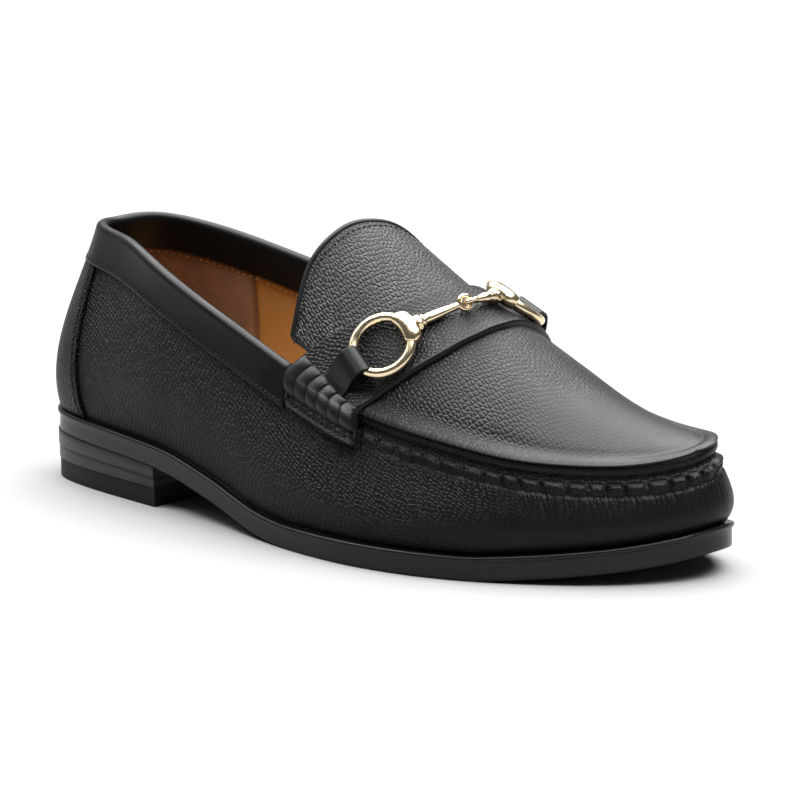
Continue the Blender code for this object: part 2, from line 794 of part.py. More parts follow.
def make_saddle(finish):
    rows = 2 * RIBS + 1
    crossing = (0.0, 0.03, *ACROSS, 0.97, 1.0)
    stops = (TAB_BELOW, ROLL_BELOW + 0.0010, ROLL_BELOW, ROLL_BELOW * 0.75, ROLL_BELOW * 0.5, ROLL_BELOW * 0.22)
    outer, inner = [], []

    def padding(past, rib):
        """Thickness at a distance past the roll's lower edge, measured over the wall's top edge."""
        share = past / (ROLL_BELOW + ROLL_ABOVE)
        if not 0 < share < 1:
            return TAB_THICKNESS if share <= 0 else SADDLE_THICKNESS
        round_part = math.sin(math.pi * share) ** 0.5
        base = TAB_THICKNESS + (SADDLE_THICKNESS - TAB_THICKNESS) * share
        return base + (ROLL_HEIGHT + rib - base) * round_part

    for r in range(rows):
        f = r / (rows - 1)
        rib = ROLL_RIB if r % 2 else 0.0
        line = []
        for side, share in ((lateral, 0.0), (medial, 1.0)):
            u = section_of_top(side, saddle_x(share, f))
            wall = []
            for distance in stops:
                t = below(u, distance)
                normal = wall_normal(u, t)
                lift = SADDLE_LIFT + SEAM_BEAD * seam_fade(u)
                wall.append((wall_base(u, t), normal, lift, padding(ROLL_BELOW - distance, rib)))
            line.append(wall)
        across = []
        for share in crossing:
            x = saddle_x(share, f)
            point, normal = instep_point(x, share), instep_normal(x, share)
            edge = edge_distance(x, share)
            side = lateral if share < 0.5 else medial
            u = section_of_top(side, x)
            if share in (0.0, 1.0):
                normal = normal + wall_normal(u, 1.0)
                normal /= np.linalg.norm(normal)
            lift = SADDLE_LIFT + SEAM_BEAD * seam_fade(u) * (1 - smooth_step(edge, 0.002, 0.008))
            across.append((point, normal, lift, padding(ROLL_BELOW + edge, rib)))
        for point, normal, lift, thickness in line[0] + across + line[1][::-1]:
            inner.append(point + normal * lift)
            outer.append(point + normal * (lift + thickness))
    columns = len(crossing) + 2 * len(stops)
    return shell("saddle", outer, inner, grid_faces(rows, columns), finish)


def torus_mesh(major, minor, steps, sides):
    ring = bmesh.new()
    circle = bmesh.ops.create_circle(ring, cap_ends=False, segments=sides, radius=minor)
    bmesh.ops.rotate(ring, verts=ring.verts, matrix=Matrix.Rotation(math.pi / 2, 3, "X"))
    bmesh.ops.translate(ring, verts=ring.verts, vec=(major, 0, 0))
    bmesh.ops.spin(
        ring,
        geom=ring.edges[:],
        angle=2 * math.pi,
        steps=steps,
        axis=(0, 0, 1),
        cent=(0, 0, 0),
        use_merge=True,
    )
    bmesh.ops.remove_doubles(ring, verts=ring.verts, dist=1e-6)
    bmesh.ops.recalc_face_normals(ring, faces=ring.faces)
    return ring


def frame_at(point, forward, normal):
    """A matrix with its X along forward and its Z along the normal, at a point."""
    z = Vector(normal).normalized()
    x = Vector(forward)
    x = (x - z * x.dot(z)).normalized()
    y = z.cross(x)
    turned = Matrix((x, y, z)).transposed().to_4x4()
    return Matrix.Translation(Vector(point)) @ turned


def mesh_object(name, solid, place, finish):
    bmesh.ops.transform(solid, matrix=place, verts=solid.verts)
    bmesh.ops.recalc_face_normals(solid, faces=solid.faces)
    mesh = bpy.data.meshes.new(name)
    solid.to_mesh(mesh)
    solid.free()
    mesh.materials.append(finish)
    mesh.shade_smooth()
    mesh.set_sharp_from_angle(angle=math.radians(40))
    piece = bpy.data.objects.new(name, mesh)
    bpy.context.scene.collection.objects.link(piece)
    return piece


def cut_or_join(piece, tool, operation):
    step = piece.modifiers.new(operation.lower(), "BOOLEAN")
    step.operation = operation
    step.solver = "EXACT"
    step.object = tool
    tool.hide_render = True
    tool.display_type = "WIRE"


def bit_frames():
    """Frames of the two rings and of the middle link, lying on the saddle's outer face."""
    middle, middle_normal = saddle_face(BIT_CENTRE, 0.5)
    rings = {}
    for name, share in (("lateral", BIT_CENTRE - BIT_SPREAD), ("medial", BIT_CENTRE + BIT_SPREAD)):
        point, normal = saddle_face(share, 0.5)
        rings[name] = (point + normal * (RING_WIRE + 2 * CLEARANCE), normal)
    lift = CLEARANCE + EYE_RADIUS + EYE_WIRE
    return rings, (middle + middle_normal * lift, middle_normal)


def make_bit(gold, leather):
    rings, (link, link_normal) = bit_frames()
    for side, (centre, normal) in rings.items():
        place = frame_at(centre, link - centre, normal)
        mesh_object(f"bit_ring_{side}", torus_mesh(RING_RADIUS, RING_WIRE, RING_STEPS, WIRE_STEPS), place, gold)
        make_bar(side, centre, normal, link, link_normal, place, gold)
        share = BIT_CENTRE + (BIT_SPREAD if side == "medial" else -BIT_SPREAD)
        make_keeper(side, share, place, leather)


def make_bar(side, centre, normal, link, link_normal, place, gold):
    inward = place.to_3x3() @ Vector((1, 0, 0))
    grip = Vector(centre) + inward * RING_RADIUS
    target = Vector(link)
    run = (target - grip).normalized()
    cup = bmesh.new()
    bmesh.ops.create_uvsphere(cup, u_segments=12, v_segments=7, radius=0.5)
    bmesh.ops.scale(cup, vec=(CUP_WIDTH, CUP_LENGTH, 2 * (RING_WIRE + 0.0011)), verts=cup.verts)
    cup_place = frame_at(grip, run, normal)
    cup_piece = mesh_object(f"bit_bar_{side}", cup, cup_place, gold)
    eye_centre = target - run * (EYE_RADIUS / 2)
    length = (eye_centre - grip).length - EYE_RADIUS
    rod = bmesh.new()
    bmesh.ops.create_cone(rod, cap_ends=True, segments=8, radius1=BAR_ROOT, radius2=BAR_TIP, depth=length)
    rod_place = frame_at(grip + run * (length / 2), normal, run)
    rod_piece = mesh_object(f"rod_{side}", rod, rod_place, gold)
    eye_up = Vector(link_normal)
    eye_axis = (eye_up + run.cross(eye_up)).normalized()
    eye_place = frame_at(eye_centre, run, eye_axis)
    eye_piece = mesh_object(f"eye_{side}", torus_mesh(EYE_RADIUS, EYE_WIRE, 14, 6), eye_place, gold)
    cut_or_join(cup_piece, rod_piece, "UNION")
    cut_or_join(cup_piece, eye_piece, "UNION")
    hole = torus_mesh(RING_RADIUS, RING_WIRE + CLEARANCE, RING_STEPS, WIRE_STEPS)
    hole_piece = mesh_object(f"ring_hole_{side}", hole, place, gold)
    cut_or_join(cup_piece, hole_piece, "DIFFERENCE")


def make_keeper(side, share, place, leather):
    """A loop of leather folded round the ring's outer wire, sewn down on the saddle behind it."""
    centre, axis = np.array(place.translation), np.array(place.to_3x3() @ Vector((0, 0, 1)))
    end = 0.0 if side == "lateral" else 1.0
    half = RING_WIRE + CLEARANCE + KEEPER_LEATHER

    def share_past(past):
        """Share across where the saddle's middle line lies a distance outside the ring's wire."""
        low, high = share, end
        for _ in range(30):
            middle = (low + high) / 2
            offset = saddle_face(middle, 0.5)[0] - centre
            if np.linalg.norm(offset - axis * offset.dot(axis)) < RING_RADIUS + past:
                low = middle
            else:
                high = middle
        return low

    # Distance outside the ring's wire, part of the loop's full height kept there, part of a flat tail.
    stops = (
        (-0.95 * half, 0.30, 0.0),
        (-0.55 * half, 0.85, 0.0),
        (0.20 * half, 1.00, 0.0),
        (KEEPER_LENGTH * 0.42, 0.80, 0.5),
        (KEEPER_LENGTH * 0.66, 0.00, 1.0),
        (KEEPER_LENGTH - 0.95 * half, 0.00, 0.8),
    )
    lows, highs = [], []
    strap = bmesh.new()
    for past, fullness, flat in stops:
        across = share_past(past)
        width = np.linalg.norm(saddle_face(across, 1.0)[0] - saddle_face(across, 0.0)[0])
        low_row, high_row = [], []
        for side_step in (-0.5, 0.0, 0.5):
            floor, normal = saddle_face(across, 0.5 + side_step * KEEPER_WIDTH / width)
            floor = floor + normal * CLEARANCE
            over_ring = (half * fullness - (floor - centre).dot(axis)) / normal.dot(axis)
            rise = over_ring * (1 - flat) + 2 * KEEPER_LEATHER * flat
            low_row.append(strap.verts.new(floor))
            high_row.append(strap.verts.new(floor + normal * rise))
        lows.append(low_row)
        highs.append(high_row)
    last = len(stops) - 1
    for i in range(last):
        for j in range(2):
            strap.faces.new((lows[i][j], lows[i][j + 1], lows[i + 1][j + 1], lows[i + 1][j]))
            strap.faces.new((highs[i][j], highs[i + 1][j], highs[i + 1][j + 1], highs[i][j + 1]))
        for j in (0, 2):
            strap.faces.new((lows[i][j], lows[i + 1][j], highs[i + 1][j], highs[i][j]))
    for i in (0, last):
        for j in range(2):
            strap.faces.new((lows[i][j], highs[i][j], highs[i][j + 1], lows[i][j + 1]))
    piece = mesh_object(f"keeper_{side}", strap, Matrix.Identity(4), leather)
    hole = torus_mesh(RING_RADIUS, RING_WIRE + CLEARANCE, RING_STEPS, WIRE_STEPS)
    hole_piece = mesh_object(f"keeper_hole_{side}", hole, place, leather)
    cut_or_join(piece, hole_piece, "DIFFERENCE")


def main():
    for old in list(bpy.data.objects):
        bpy.data.objects.remove(old, do_unlink=True)
    grain = material("grained leather", (0.018, 0.018, 0.019), 0.45)
    smooth = material("smooth leather", (0.012, 0.012, 0.013), 0.35)
    sole = material("sole edge", (0.020, 0.020, 0.021), 0.4)
    rubber = material("rubber", (0.015, 0.015, 0.015), 0.6)
    tan = material("insole leather", (0.36, 0.18, 0.07), 0.6)
    gold = material("gilt brass", (0.83, 0.66, 0.36), 0.18, 1.0)
    make_outsole(sole)
    make_heel(sole, rubber)
    make_insole(tan)
    make_upper(grain)
    make_tongue(grain)
    make_collar_band(smooth)
    make_heel_counter(grain)
    make_saddle(grain)
    make_bit(gold, smooth)


main()
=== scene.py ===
# %% [markdown]
# # Bit loafer
#
# A bit loafer is a slip-on shoe. A wall of grained leather runs round the foot, an apron closes
# the top, and the two are gathered into a raised seam round the toe. A strap, the saddle, crosses
# the instep and carries a small snaffle bit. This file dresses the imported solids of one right
# shoe. The toe points along +X, the outer side along -Y, and the heel's middle stands on the
# origin.

# %% Load the frame
import math

import bmesh
import bpy
import numpy as np
from mathutils import Matrix, Vector


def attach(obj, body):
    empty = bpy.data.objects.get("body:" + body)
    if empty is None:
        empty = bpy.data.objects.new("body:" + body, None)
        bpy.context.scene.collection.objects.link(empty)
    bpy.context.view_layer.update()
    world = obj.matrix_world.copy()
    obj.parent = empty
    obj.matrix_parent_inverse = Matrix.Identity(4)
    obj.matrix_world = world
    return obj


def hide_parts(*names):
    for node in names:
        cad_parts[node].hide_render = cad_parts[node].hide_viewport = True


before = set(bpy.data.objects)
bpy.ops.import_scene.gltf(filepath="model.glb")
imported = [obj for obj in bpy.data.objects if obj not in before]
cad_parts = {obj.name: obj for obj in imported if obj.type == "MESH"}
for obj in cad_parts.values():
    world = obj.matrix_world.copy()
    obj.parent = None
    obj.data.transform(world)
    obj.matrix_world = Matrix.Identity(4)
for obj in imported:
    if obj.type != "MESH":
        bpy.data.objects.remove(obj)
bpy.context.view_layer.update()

# %% [markdown]
# ## Sizes of the last and the sole
#
# A last is the wooden foot that a shoe is made on. Its sections are given in small tables, one row
# for each station round the shoe, as shares of a few real sizes. The same rows shape the solids,
# so everything made here lies exactly on them.

# %% Sizes and tables
SOLE_LENGTH = 0.300
BALL_WIDTH = 0.107
HEEL_WIDTH = 0.067
HEEL_STACK = 0.019
TOE_SPRING = 0.0103
SOLE_EDGE = 0.0086
RIM = 0.0035
BACK_RISE = 0.0714
TOE_RISE = 0.0265
INSTEP_ARCH = 0.0286
WALL_BULGE = 0.004
ORIGIN_ALONG = 0.036
CLEARANCE = 0.0003
WALL = 0.0020
TOP_LIFT = 0.0075
BREAST_ALONG = 0.077
LIFT_TAPER = 0.0010
TIP_SECTION = 16.4

# Sole's edge (along, across), wall's top edge (along, across, rise), bulge and rim.
LATERAL_COLLAR = (
    (0.000, 0.030, 0.062, 0.067, 1.000, 1.0, 0.7),
    (0.008, -0.164, 0.068, -0.075, 1.004, 1.0, 0.7),
    (0.037, -0.328, 0.090, -0.187, 1.001, 1.0, 0.7),
    (0.083, -0.425, 0.127, -0.261, 0.993, 1.0, 0.7),
    (0.150, -0.493, 0.173, -0.343, 0.982, 1.1, 0.7),
    (0.233, -0.552, 0.240, -0.463, 0.927, 1.2, 0.7),
    (0.317, -0.612, 0.317, -0.545, 0.862, 1.2, 0.7),
    (0.400, -0.687, 0.397, -0.590, 0.819, 1.2, 0.8),
    (0.483, -0.776, 0.473, -0.619, 0.770, 1.2, 0.9),
)
VAMP = (
    (0.567, -0.528, 0.547, -0.397, 1.808, 1.1, 1.0),
    (0.643, -0.537, 0.613, -0.402, 1.581, 1.0, 1.0),
    (0.717, -0.509, 0.683, -0.397, 1.442, 1.0, 1.0),
    (0.787, -0.444, 0.750, -0.374, 1.328, 1.0, 1.0),
    (0.853, -0.346, 0.813, -0.304, 1.166, 1.0, 1.0),
    (0.913, -0.229, 0.880, -0.201, 1.038, 1.0, 1.0),
    (0.963, -0.084, 0.933, -0.075, 0.974, 1.0, 1.0),
    (0.993, 0.075, 0.968, 0.065, 1.000, 1.0, 1.0),
    (0.990, 0.206, 0.965, 0.187, 1.098, 1.0, 1.0),
    (0.957, 0.318, 0.930, 0.262, 1.162, 1.0, 1.0),
    (0.893, 0.407, 0.873, 0.308, 1.246, 1.0, 1.0),
    (0.810, 0.458, 0.800, 0.346, 1.445, 1.0, 1.0),
    (0.717, 0.463, 0.707, 0.374, 1.694, 1.0, 1.0),
    (0.627, 0.421, 0.633, 0.383, 1.921, 0.9, 1.0),
    (0.533, 0.355, 0.550, 0.379, 2.185, 0.8, 1.0),
)
MEDIAL_COLLAR = (
    (0.433, 0.485, 0.457, 0.575, 0.886, 0.8, 0.8),
    (0.333, 0.463, 0.350, 0.545, 0.888, 0.9, 0.7),
    (0.233, 0.493, 0.250, 0.500, 0.918, 1.0, 0.7),
    (0.150, 0.507, 0.167, 0.448, 0.971, 1.0, 0.7),
    (0.073, 0.448, 0.100, 0.343, 1.008, 1.0, 0.7),
    (0.023, 0.284, 0.070, 0.201, 1.010, 1.0, 0.7),
)
# The sole's underside: along, height in heel stacks, height in toe springs.
UNDERSIDE = (
    (0.000, 1.000, 0.0),
    (0.257, 0.789, 0.0),
    (0.293, 0.716, 0.0),
    (0.333, 0.579, 0.0),
    (0.387, 0.384, 0.0),
    (0.417, 0.253, 0.0),
    (0.467, 0.079, 0.0),
    (0.527, 0.000, 0.0),
    (0.773, 0.000, 0.0),
    (0.827, 0.000, 0.117),
    (0.880, 0.000, 0.282),
    (0.927, 0.000, 0.466),
    (0.970, 0.000, 0.718),
    (1.000, 0.000, 1.000),
)
# The instep's arch: along, height in instep arches.
ARCH = (
    (0.433, 1.923),
    (0.483, 1.748),
    (0.550, 1.524),
    (0.633, 1.220),
    (0.710, 1.000),
    (0.773, 0.776),
    (0.833, 0.500),
    (0.900, 0.262),
    (0.957, 0.063),
    (0.973, 0.000),
)
ARCH_ROUND = 2.2
# The saddle: share across the instep, rear edge along, front edge along.
SADDLE_EDGES = (
    (0.00, 0.497, 0.613),
    (0.12, 0.550, 0.660),
    (0.25, 0.597, 0.692),
    (0.40, 0.622, 0.708),
    (0.55, 0.632, 0.712),
    (0.70, 0.630, 0.711),
    (0.85, 0.605, 0.703),
    (1.00, 0.560, 0.677),
)
# The tongue's free edge: share across, along.
TONGUE_EDGE = (
    (0.045, 0.490),
    (0.170, 0.484),
    (0.330, 0.497),
    (0.500, 0.513),
    (0.670, 0.527),
    (0.830, 0.537),
    (0.955, 0.560),
)


# %% [markdown]
# ## Curves through the rows
#
# Two kinds of curve read the tables. A closed spline goes round the shoe without a seam. A steady
# curve never overshoots its rows, so the flat spots of the sole stay flat. Both take whole arrays,
# because a leather panel has tens of thousands of points.

# %% Curves
def hermite(f, start, start_slope, end, end_slope):
    return (
        (2 * f**3 - 3 * f**2 + 1) * start
        + (f**3 - 2 * f**2 + f) * start_slope
        + (3 * f**2 - 2 * f**3) * end
        + (f**3 - f**2) * end_slope
    )


def closed_spline(values):
    rows = np.asarray(values, float)
    count = len(rows)
    ring = np.eye(count)
    system = 4 * ring + np.roll(ring, 1, axis=1) + np.roll(ring, -1, axis=1)
    slopes = np.linalg.solve(system, 3 * (np.roll(rows, -1, axis=0) - np.roll(rows, 1, axis=0)))

    def read(u):
        u = np.asarray(u, float)
        low = np.floor(u).astype(int)
        f = (u - low)[..., None]
        a, b = low % count, (low + 1) % count
        return hermite(f, rows[a], slopes[a], rows[b], slopes[b])

    return read


def steady_curve(xs, ys):
    xs, ys = np.asarray(xs, float), np.asarray(ys, float)
    steps = np.diff(xs)
    grades = np.diff(ys) / steps
    slopes = np.zeros(len(xs))
    for i in range(1, len(xs) - 1):
        if grades[i - 1] * grades[i] > 0:
            first, second = 2 * steps[i] + steps[i - 1], steps[i] + 2 * steps[i - 1]
            slopes[i] = (first + second) / (first / grades[i - 1] + second / grades[i])
    slopes[0], slopes[-1] = grades[0], grades[-1]

    def read(x):
        x = np.clip(np.asarray(x, float), xs[0], xs[-1])
        i = np.clip(np.searchsorted(xs, x) - 1, 0, len(steps) - 1)
        f = (x - xs[i]) / steps[i]
        return hermite(f, ys[i], steps[i] * slopes[i], ys[i + 1], steps[i] * slopes[i + 1])

    return read


def station_x(along):
    return np.asarray(along) * SOLE_LENGTH - ORIGIN_ALONG


def held(x):
    return np.clip(x, 0, 1)


def smooth_step(x, low, high):
    f = held((x - low) / (high - low))
    return f * f * (3 - 2 * f)


def bell(x, centre, width):
    return np.exp(-(((x - centre) / width) ** 2))


def round_shoulder(x):
    """Rises from 0 to 1 along a quarter of a circle."""
    return np.sqrt(held(1 - (1 - held(x)) ** 2))


def eased(x):
    return 0.5 - 0.5 * np.cos(math.pi * x)


def unit(vectors):
    return vectors / np.maximum(np.linalg.norm(vectors, axis=-1, keepdims=True), 1e-12)


underside = steady_curve(
    [station_x(row[0]) for row in UNDERSIDE],
    [row[1] * HEEL_STACK + row[2] * TOE_SPRING for row in UNDERSIDE],
)


def sole_top(x):
    return underside(x) + SOLE_EDGE


def section_rows():
    rows = []
    for table, width, rise in (
        (LATERAL_COLLAR, HEEL_WIDTH, BACK_RISE),
        (VAMP, BALL_WIDTH, TOE_RISE),
        (MEDIAL_COLLAR, HEEL_WIDTH, BACK_RISE),
    ):
        for foot_along, foot_across, top_along, top_across, height, bulge, rim in table:
            top_x = station_x(top_along)
            rows.append(
                (
                    station_x(foot_along),
                    foot_across * width,
                    top_x,
                    top_across * width,
                    sole_top(top_x) + height * rise,
                    bulge * WALL_BULGE,
                    rim * RIM,
                )
            )
    return rows


SECTION_ROWS = section_rows()
SECTIONS = len(SECTION_ROWS)
section = closed_spline(SECTION_ROWS)
STEP = 0.01
print("stations round the shoe:", SECTIONS)


# %% [markdown]
# ## The surfaces of the shoe
#
# Every leather part is laid on one of two surfaces: the wall, read by a station number round the
# shoe and a share of its height, and the instep, read by a distance along the shoe and a share
# across it.

# %% Wall and instep
LEAN = 1.35
CUBIC_PEAK = 6.75
LENGTH_STEPS = 8


def outward(u):
    run = (section(u + STEP) - section(u - STEP))[..., :2]
    return unit(np.stack([run[..., 1], -run[..., 0]], axis=-1))


def sole_edge(u, inset):
    return section(u)[..., :2] - outward(u) * np.asarray(inset)[..., None]


def wall_point(u, t):
    u, t = np.broadcast_arrays(np.asarray(u, float), np.asarray(t, float))
    row = section(u)
    foot = sole_edge(u, row[..., 6])
    lean = (np.maximum(t, 0) ** LEAN)[..., None]
    swell = (CUBIC_PEAK * t * (1 - t) ** 2 * row[..., 5])[..., None]
    plan = foot + (row[..., 2:4] - foot) * lean + outward(u) * swell
    floor = sole_top(foot[..., 0]) + CLEARANCE
    height = floor + (row[..., 4] - floor) * t
    return np.concatenate([plan, height[..., None]], axis=-1)


def wall_normal(u, t):
    low, high = np.maximum(t - STEP, 0.0), np.minimum(t + STEP, 1.0)
    up = wall_point(u, high) - wall_point(u, low)
    around = wall_point(u + STEP, t) - wall_point(u - STEP, t)
    return unit(np.cross(around, up))


def path_length(points):
    return sum(np.linalg.norm(b - a, axis=-1) for a, b in zip(points, points[1:]))


def wall_height(u):
    shares = [np.full(np.shape(u), i / LENGTH_STEPS) for i in range(LENGTH_STEPS + 1)]
    return path_length([wall_point(u, t) for t in shares])


def below(u, distance):
    return 1.0 - distance / wall_height(u)


def lateral(share):
    return TIP_SECTION * share


def medial(share):
    return SECTIONS - (SECTIONS - TIP_SECTION) * share


SIDE_SHARES = np.linspace(0.12, 1.0, 400)
SIDES = {side: section(side(SIDE_SHARES))[:, 2:5] for side in (lateral, medial)}
arch = steady_curve([station_x(row[0]) for row in ARCH], [row[1] * INSTEP_ARCH for row in ARCH])


def edge_at(side, x):
    table = SIDES[side]
    return np.interp(x, table[:, 0], table[:, 1]), np.interp(x, table[:, 0], table[:, 2])


def section_of_top(side, x):
    return side(np.interp(x, SIDES[side][:, 0], SIDE_SHARES))


def instep_share(x, y):
    left, right = edge_at(lateral, x)[0], edge_at(medial, x)[0]
    return held((y - left) / np.maximum(right - left, 1e-6))


def instep_height(x, y):
    share = instep_share(x, y)
    low, high = edge_at(lateral, x)[1], edge_at(medial, x)[1]
    return low + (high - low) * share + arch(x) * (1 - np.abs(2 * share - 1) ** ARCH_ROUND)


def instep_point(x, share):
    left, right = edge_at(lateral, x)[0], edge_at(medial, x)[0]
    y = left + (right - left) * share
    return np.stack(np.broadcast_arrays(x, y, instep_height(x, y)), axis=-1)


def instep_normal(x, share):
    share = np.clip(share, 0.004, 0.996)
    reach = 0.0006
    along = instep_point(x + reach, share) - instep_point(x - reach, share)
    across = instep_point(x, share + 0.003) - instep_point(x, share - 0.003)
    return unit(np.cross(along, across))


def apron_normal(x, y):
    reach = 0.0008
    slope_x = (instep_height(x + reach, y) - instep_height(x - reach, y)) / (2 * reach)
    slope_y = (instep_height(x, y + reach) - instep_height(x, y - reach)) / (2 * reach)
    slope_x, slope_y = np.clip(slope_x, -1.6, 1.6), np.clip(slope_y, -1.6, 1.6)
    return unit(np.stack([-slope_x, -slope_y, np.ones_like(slope_x)], axis=-1))


saddle_rear = steady_curve([r[0] for r in SADDLE_EDGES], [r[1] for r in SADDLE_EDGES])
saddle_front = steady_curve([r[0] for r in SADDLE_EDGES], [r[2] for r in SADDLE_EDGES])


def saddle_x(share, f):
    return station_x(saddle_rear(share) + (saddle_front(share) - saddle_rear(share)) * f)


joint_rows = [row[0] for row in SADDLE_EDGES]
joint_curve = steady_curve(joint_rows, [(row[1] + row[2]) / 2 for row in SADDLE_EDGES])


def joint_x(share):
    return station_x(joint_curve(share))


THROAT = {
    lateral: float(section_of_top(lateral, joint_x(0.0))),
    medial: float(section_of_top(medial, joint_x(1.0))),
}
print("throat at stations", THROAT[lateral], THROAT[medial])


# %% [markdown]
# ## Making a panel
#
# A flat grid with a UV map is laid on a surface, like a pattern piece laid on the last. Pieces
# that close on themselves have their meeting points merged. A Solidify modifier gives a panel the
# thickness of its leather.

# %% Panels, tubes and rows of stitches
def lengths_chart(points, columns, rows):
    """Flat coordinates in metres: length along the rows, and length down from the last row."""
    grid = points.reshape(rows + 1, columns + 1, 3)
    along = np.linalg.norm(np.diff(grid, axis=1), axis=2).mean(axis=0)
    up = np.linalg.norm(np.diff(grid, axis=0), axis=2)
    u = np.concatenate([[0.0], np.cumsum(along)])
    v = np.concatenate([np.zeros((1, columns + 1)), np.cumsum(up, axis=0)])
    flat = np.stack(np.broadcast_arrays(u[None, :], v - v[-1]), axis=-1)
    return flat.reshape(-1, 2)


def instep_chart(points, columns, rows):
    """Flat coordinates in metres: along the shoe, and across it over the instep's arch."""
    x = points[:, 0]
    share = instep_share(x, points[:, 1])
    parts = range(LENGTH_STEPS + 1)
    across = path_length([instep_point(x, 0.5 + (share - 0.5) * i / LENGTH_STEPS) for i in parts])
    return np.stack([x, across * np.sign(share - 0.5)], axis=-1)


def lay_grid(shape, columns, rows, place, chart=None, trim=None):
    """A flat grid laid on a surface. place gets arrays from 0 to 1 and gives points.

    trim says from which share of the rows on, and up to which, the second material is used."""
    layer = shape.loops.layers.uv.get("UVMap") or shape.loops.layers.uv.new("UVMap")
    made = bmesh.ops.create_grid(
        shape, x_segments=columns, y_segments=rows, size=0.5, calc_uvs=True
    )["verts"]
    flat = np.array([vert.co[:2] for vert in made]) + 0.5
    order = np.lexsort((flat[:, 0].round(6), flat[:, 1].round(6)))
    points = place(flat[:, 0], flat[:, 1])
    faces = list({face for vert in made for face in vert.link_faces})
    if trim:
        for face in faces:
            face.material_index = int(trim[0] < face.calc_center_median().y + 0.5 < trim[1])
    for vert, spot in zip(made, points):
        vert.co = spot
    if chart:
        spots = chart(points[order], columns, rows)
        where = {made[k]: spots[i] for i, k in enumerate(order)}
        for face in faces:
            for loop in face.loops:
                loop[layer].uv = where[loop.vert]
    return made


def finish_piece(name, shape, material, thickness=0.0, offset=-1.0, merge=3e-6, sharp=50.0):
    if merge:
        bmesh.ops.remove_doubles(shape, verts=shape.verts, dist=merge)
    mesh = bpy.data.meshes.new(name)
    shape.to_mesh(mesh)
    shape.free()
    mesh.materials.append(material)
    mesh.shade_smooth()
    mesh.set_sharp_from_angle(angle=math.radians(sharp))
    piece = bpy.data.objects.new(name, mesh)
    bpy.context.scene.collection.objects.link(piece)
    if thickness:
        wall = piece.modifiers.new("thickness", "SOLIDIFY")
        wall.thickness = thickness
        wall.offset = offset
    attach(piece, "root")
    print(name, len(mesh.polygons), "faces")
    return piece


def panel(name, columns, rows, place, material, chart=None, trim=None, **more):
    shape = bmesh.new()
    lay_grid(shape, columns, rows, place, chart, trim)
    return finish_piece(name, shape, material, **more)


def tube(name, points, normals, radius, material, sides=10):
    """A round cord along points, with its ends drawn in."""
    points, normals = np.asarray(points), np.asarray(normals)
    runs = unit(np.gradient(points, axis=0))
    across = unit(np.cross(runs, normals))
    upright = unit(np.cross(across, runs))
    last = len(points) - 1

    def place(x, y):
        k = np.clip(np.rint(x * last).astype(int), 0, last)
        angle = -2 * math.pi * y
        narrow = np.where((k == 0) | (k == last), 0.0, 1.0) * radius
        side = across[k] * (np.cos(angle) * narrow)[:, None]
        rise = upright[k] * (np.sin(angle) * narrow)[:, None]
        return points[k] + side + rise

    return panel(name, last, sides, place, material)


def frame_at(point, forward, normal):
    """A placing with z along the normal and x as near to forward as that allows."""
    z = Vector(normal).normalized()
    x = Vector(forward)
    x = (x - z * x.dot(z)).normalized()
    turned = Matrix((x, z.cross(x), z)).transposed().to_4x4()
    return Matrix.Translation(Vector(point)) @ turned


def stitch_row(name, points, normals, runs, length, width, material):
    """Small thread stitches, each a stretched ball lying along its run."""
    shape = bmesh.new()
    for point, normal, run in zip(points, normals, runs):
        sized = Matrix.Diagonal((length / 2, width / 2, width / 2, 1.0))
        place = frame_at(point, run, normal) @ sized
        bmesh.ops.create_icosphere(shape, subdivisions=1, radius=1.0, matrix=place)
    return finish_piece(name, shape, material, merge=0.0, sharp=180.0)


def evenly(points, pitch):
    """Numbers along a run of points that are one pitch apart."""
    lengths = np.concatenate([[0], np.cumsum(np.linalg.norm(np.diff(points, axis=0), axis=1))])
    marks = np.arange(0.0, lengths[-1], pitch)
    return np.interp(marks, lengths, np.arange(len(points)))


def sampled(values, marks):
    values = np.asarray(values)
    return np.stack(
        [np.interp(marks, np.arange(len(values)), values[:, k]) for k in range(values.shape[1])],
        axis=-1,
    )


def sewn_row(name, points, normals, pitch, length, width, material, proud=0.0):
    """A row of stitches, one pitch apart along a line of points."""
    marks = evenly(points, pitch)
    return stitch_row(
        name, sampled(points + normals * proud, marks), sampled(normals, marks),
        sampled(np.gradient(points, axis=0), marks), length, width, material,
    )


# %% [markdown]
# ## Colours and shader nodes
#
# A colour is written as it looks on a screen, and one function turns it to the linear values that
# a shader works with. Another adds a node with its settings and links.

# %% Colour and node helpers
def linear(hex_colour):
    parts = [int(hex_colour[i : i + 2], 16) / 255 for i in (1, 3, 5)]
    return (*[c / 12.92 if c <= 0.04045 else ((c + 0.055) / 1.055) ** 2.4 for c in parts], 1.0)


def add_node(tree, kind, settings=None, **sockets):
    """A node of a kind. Sockets are given by name or as i0, i1, a value or another socket each."""
    node = tree.nodes.new("ShaderNode" + kind)
    for key, value in (settings or {}).items():
        setattr(node, key, value)
    for key, value in sockets.items():
        numbered = key[0] == "i" and key[1:].isdigit()
        socket = node.inputs[int(key[1:]) if numbered else key.replace("_", " ")]
        if isinstance(value, bpy.types.NodeSocket):
            tree.links.new(value, socket)
        else:
            socket.default_value = value
    return node


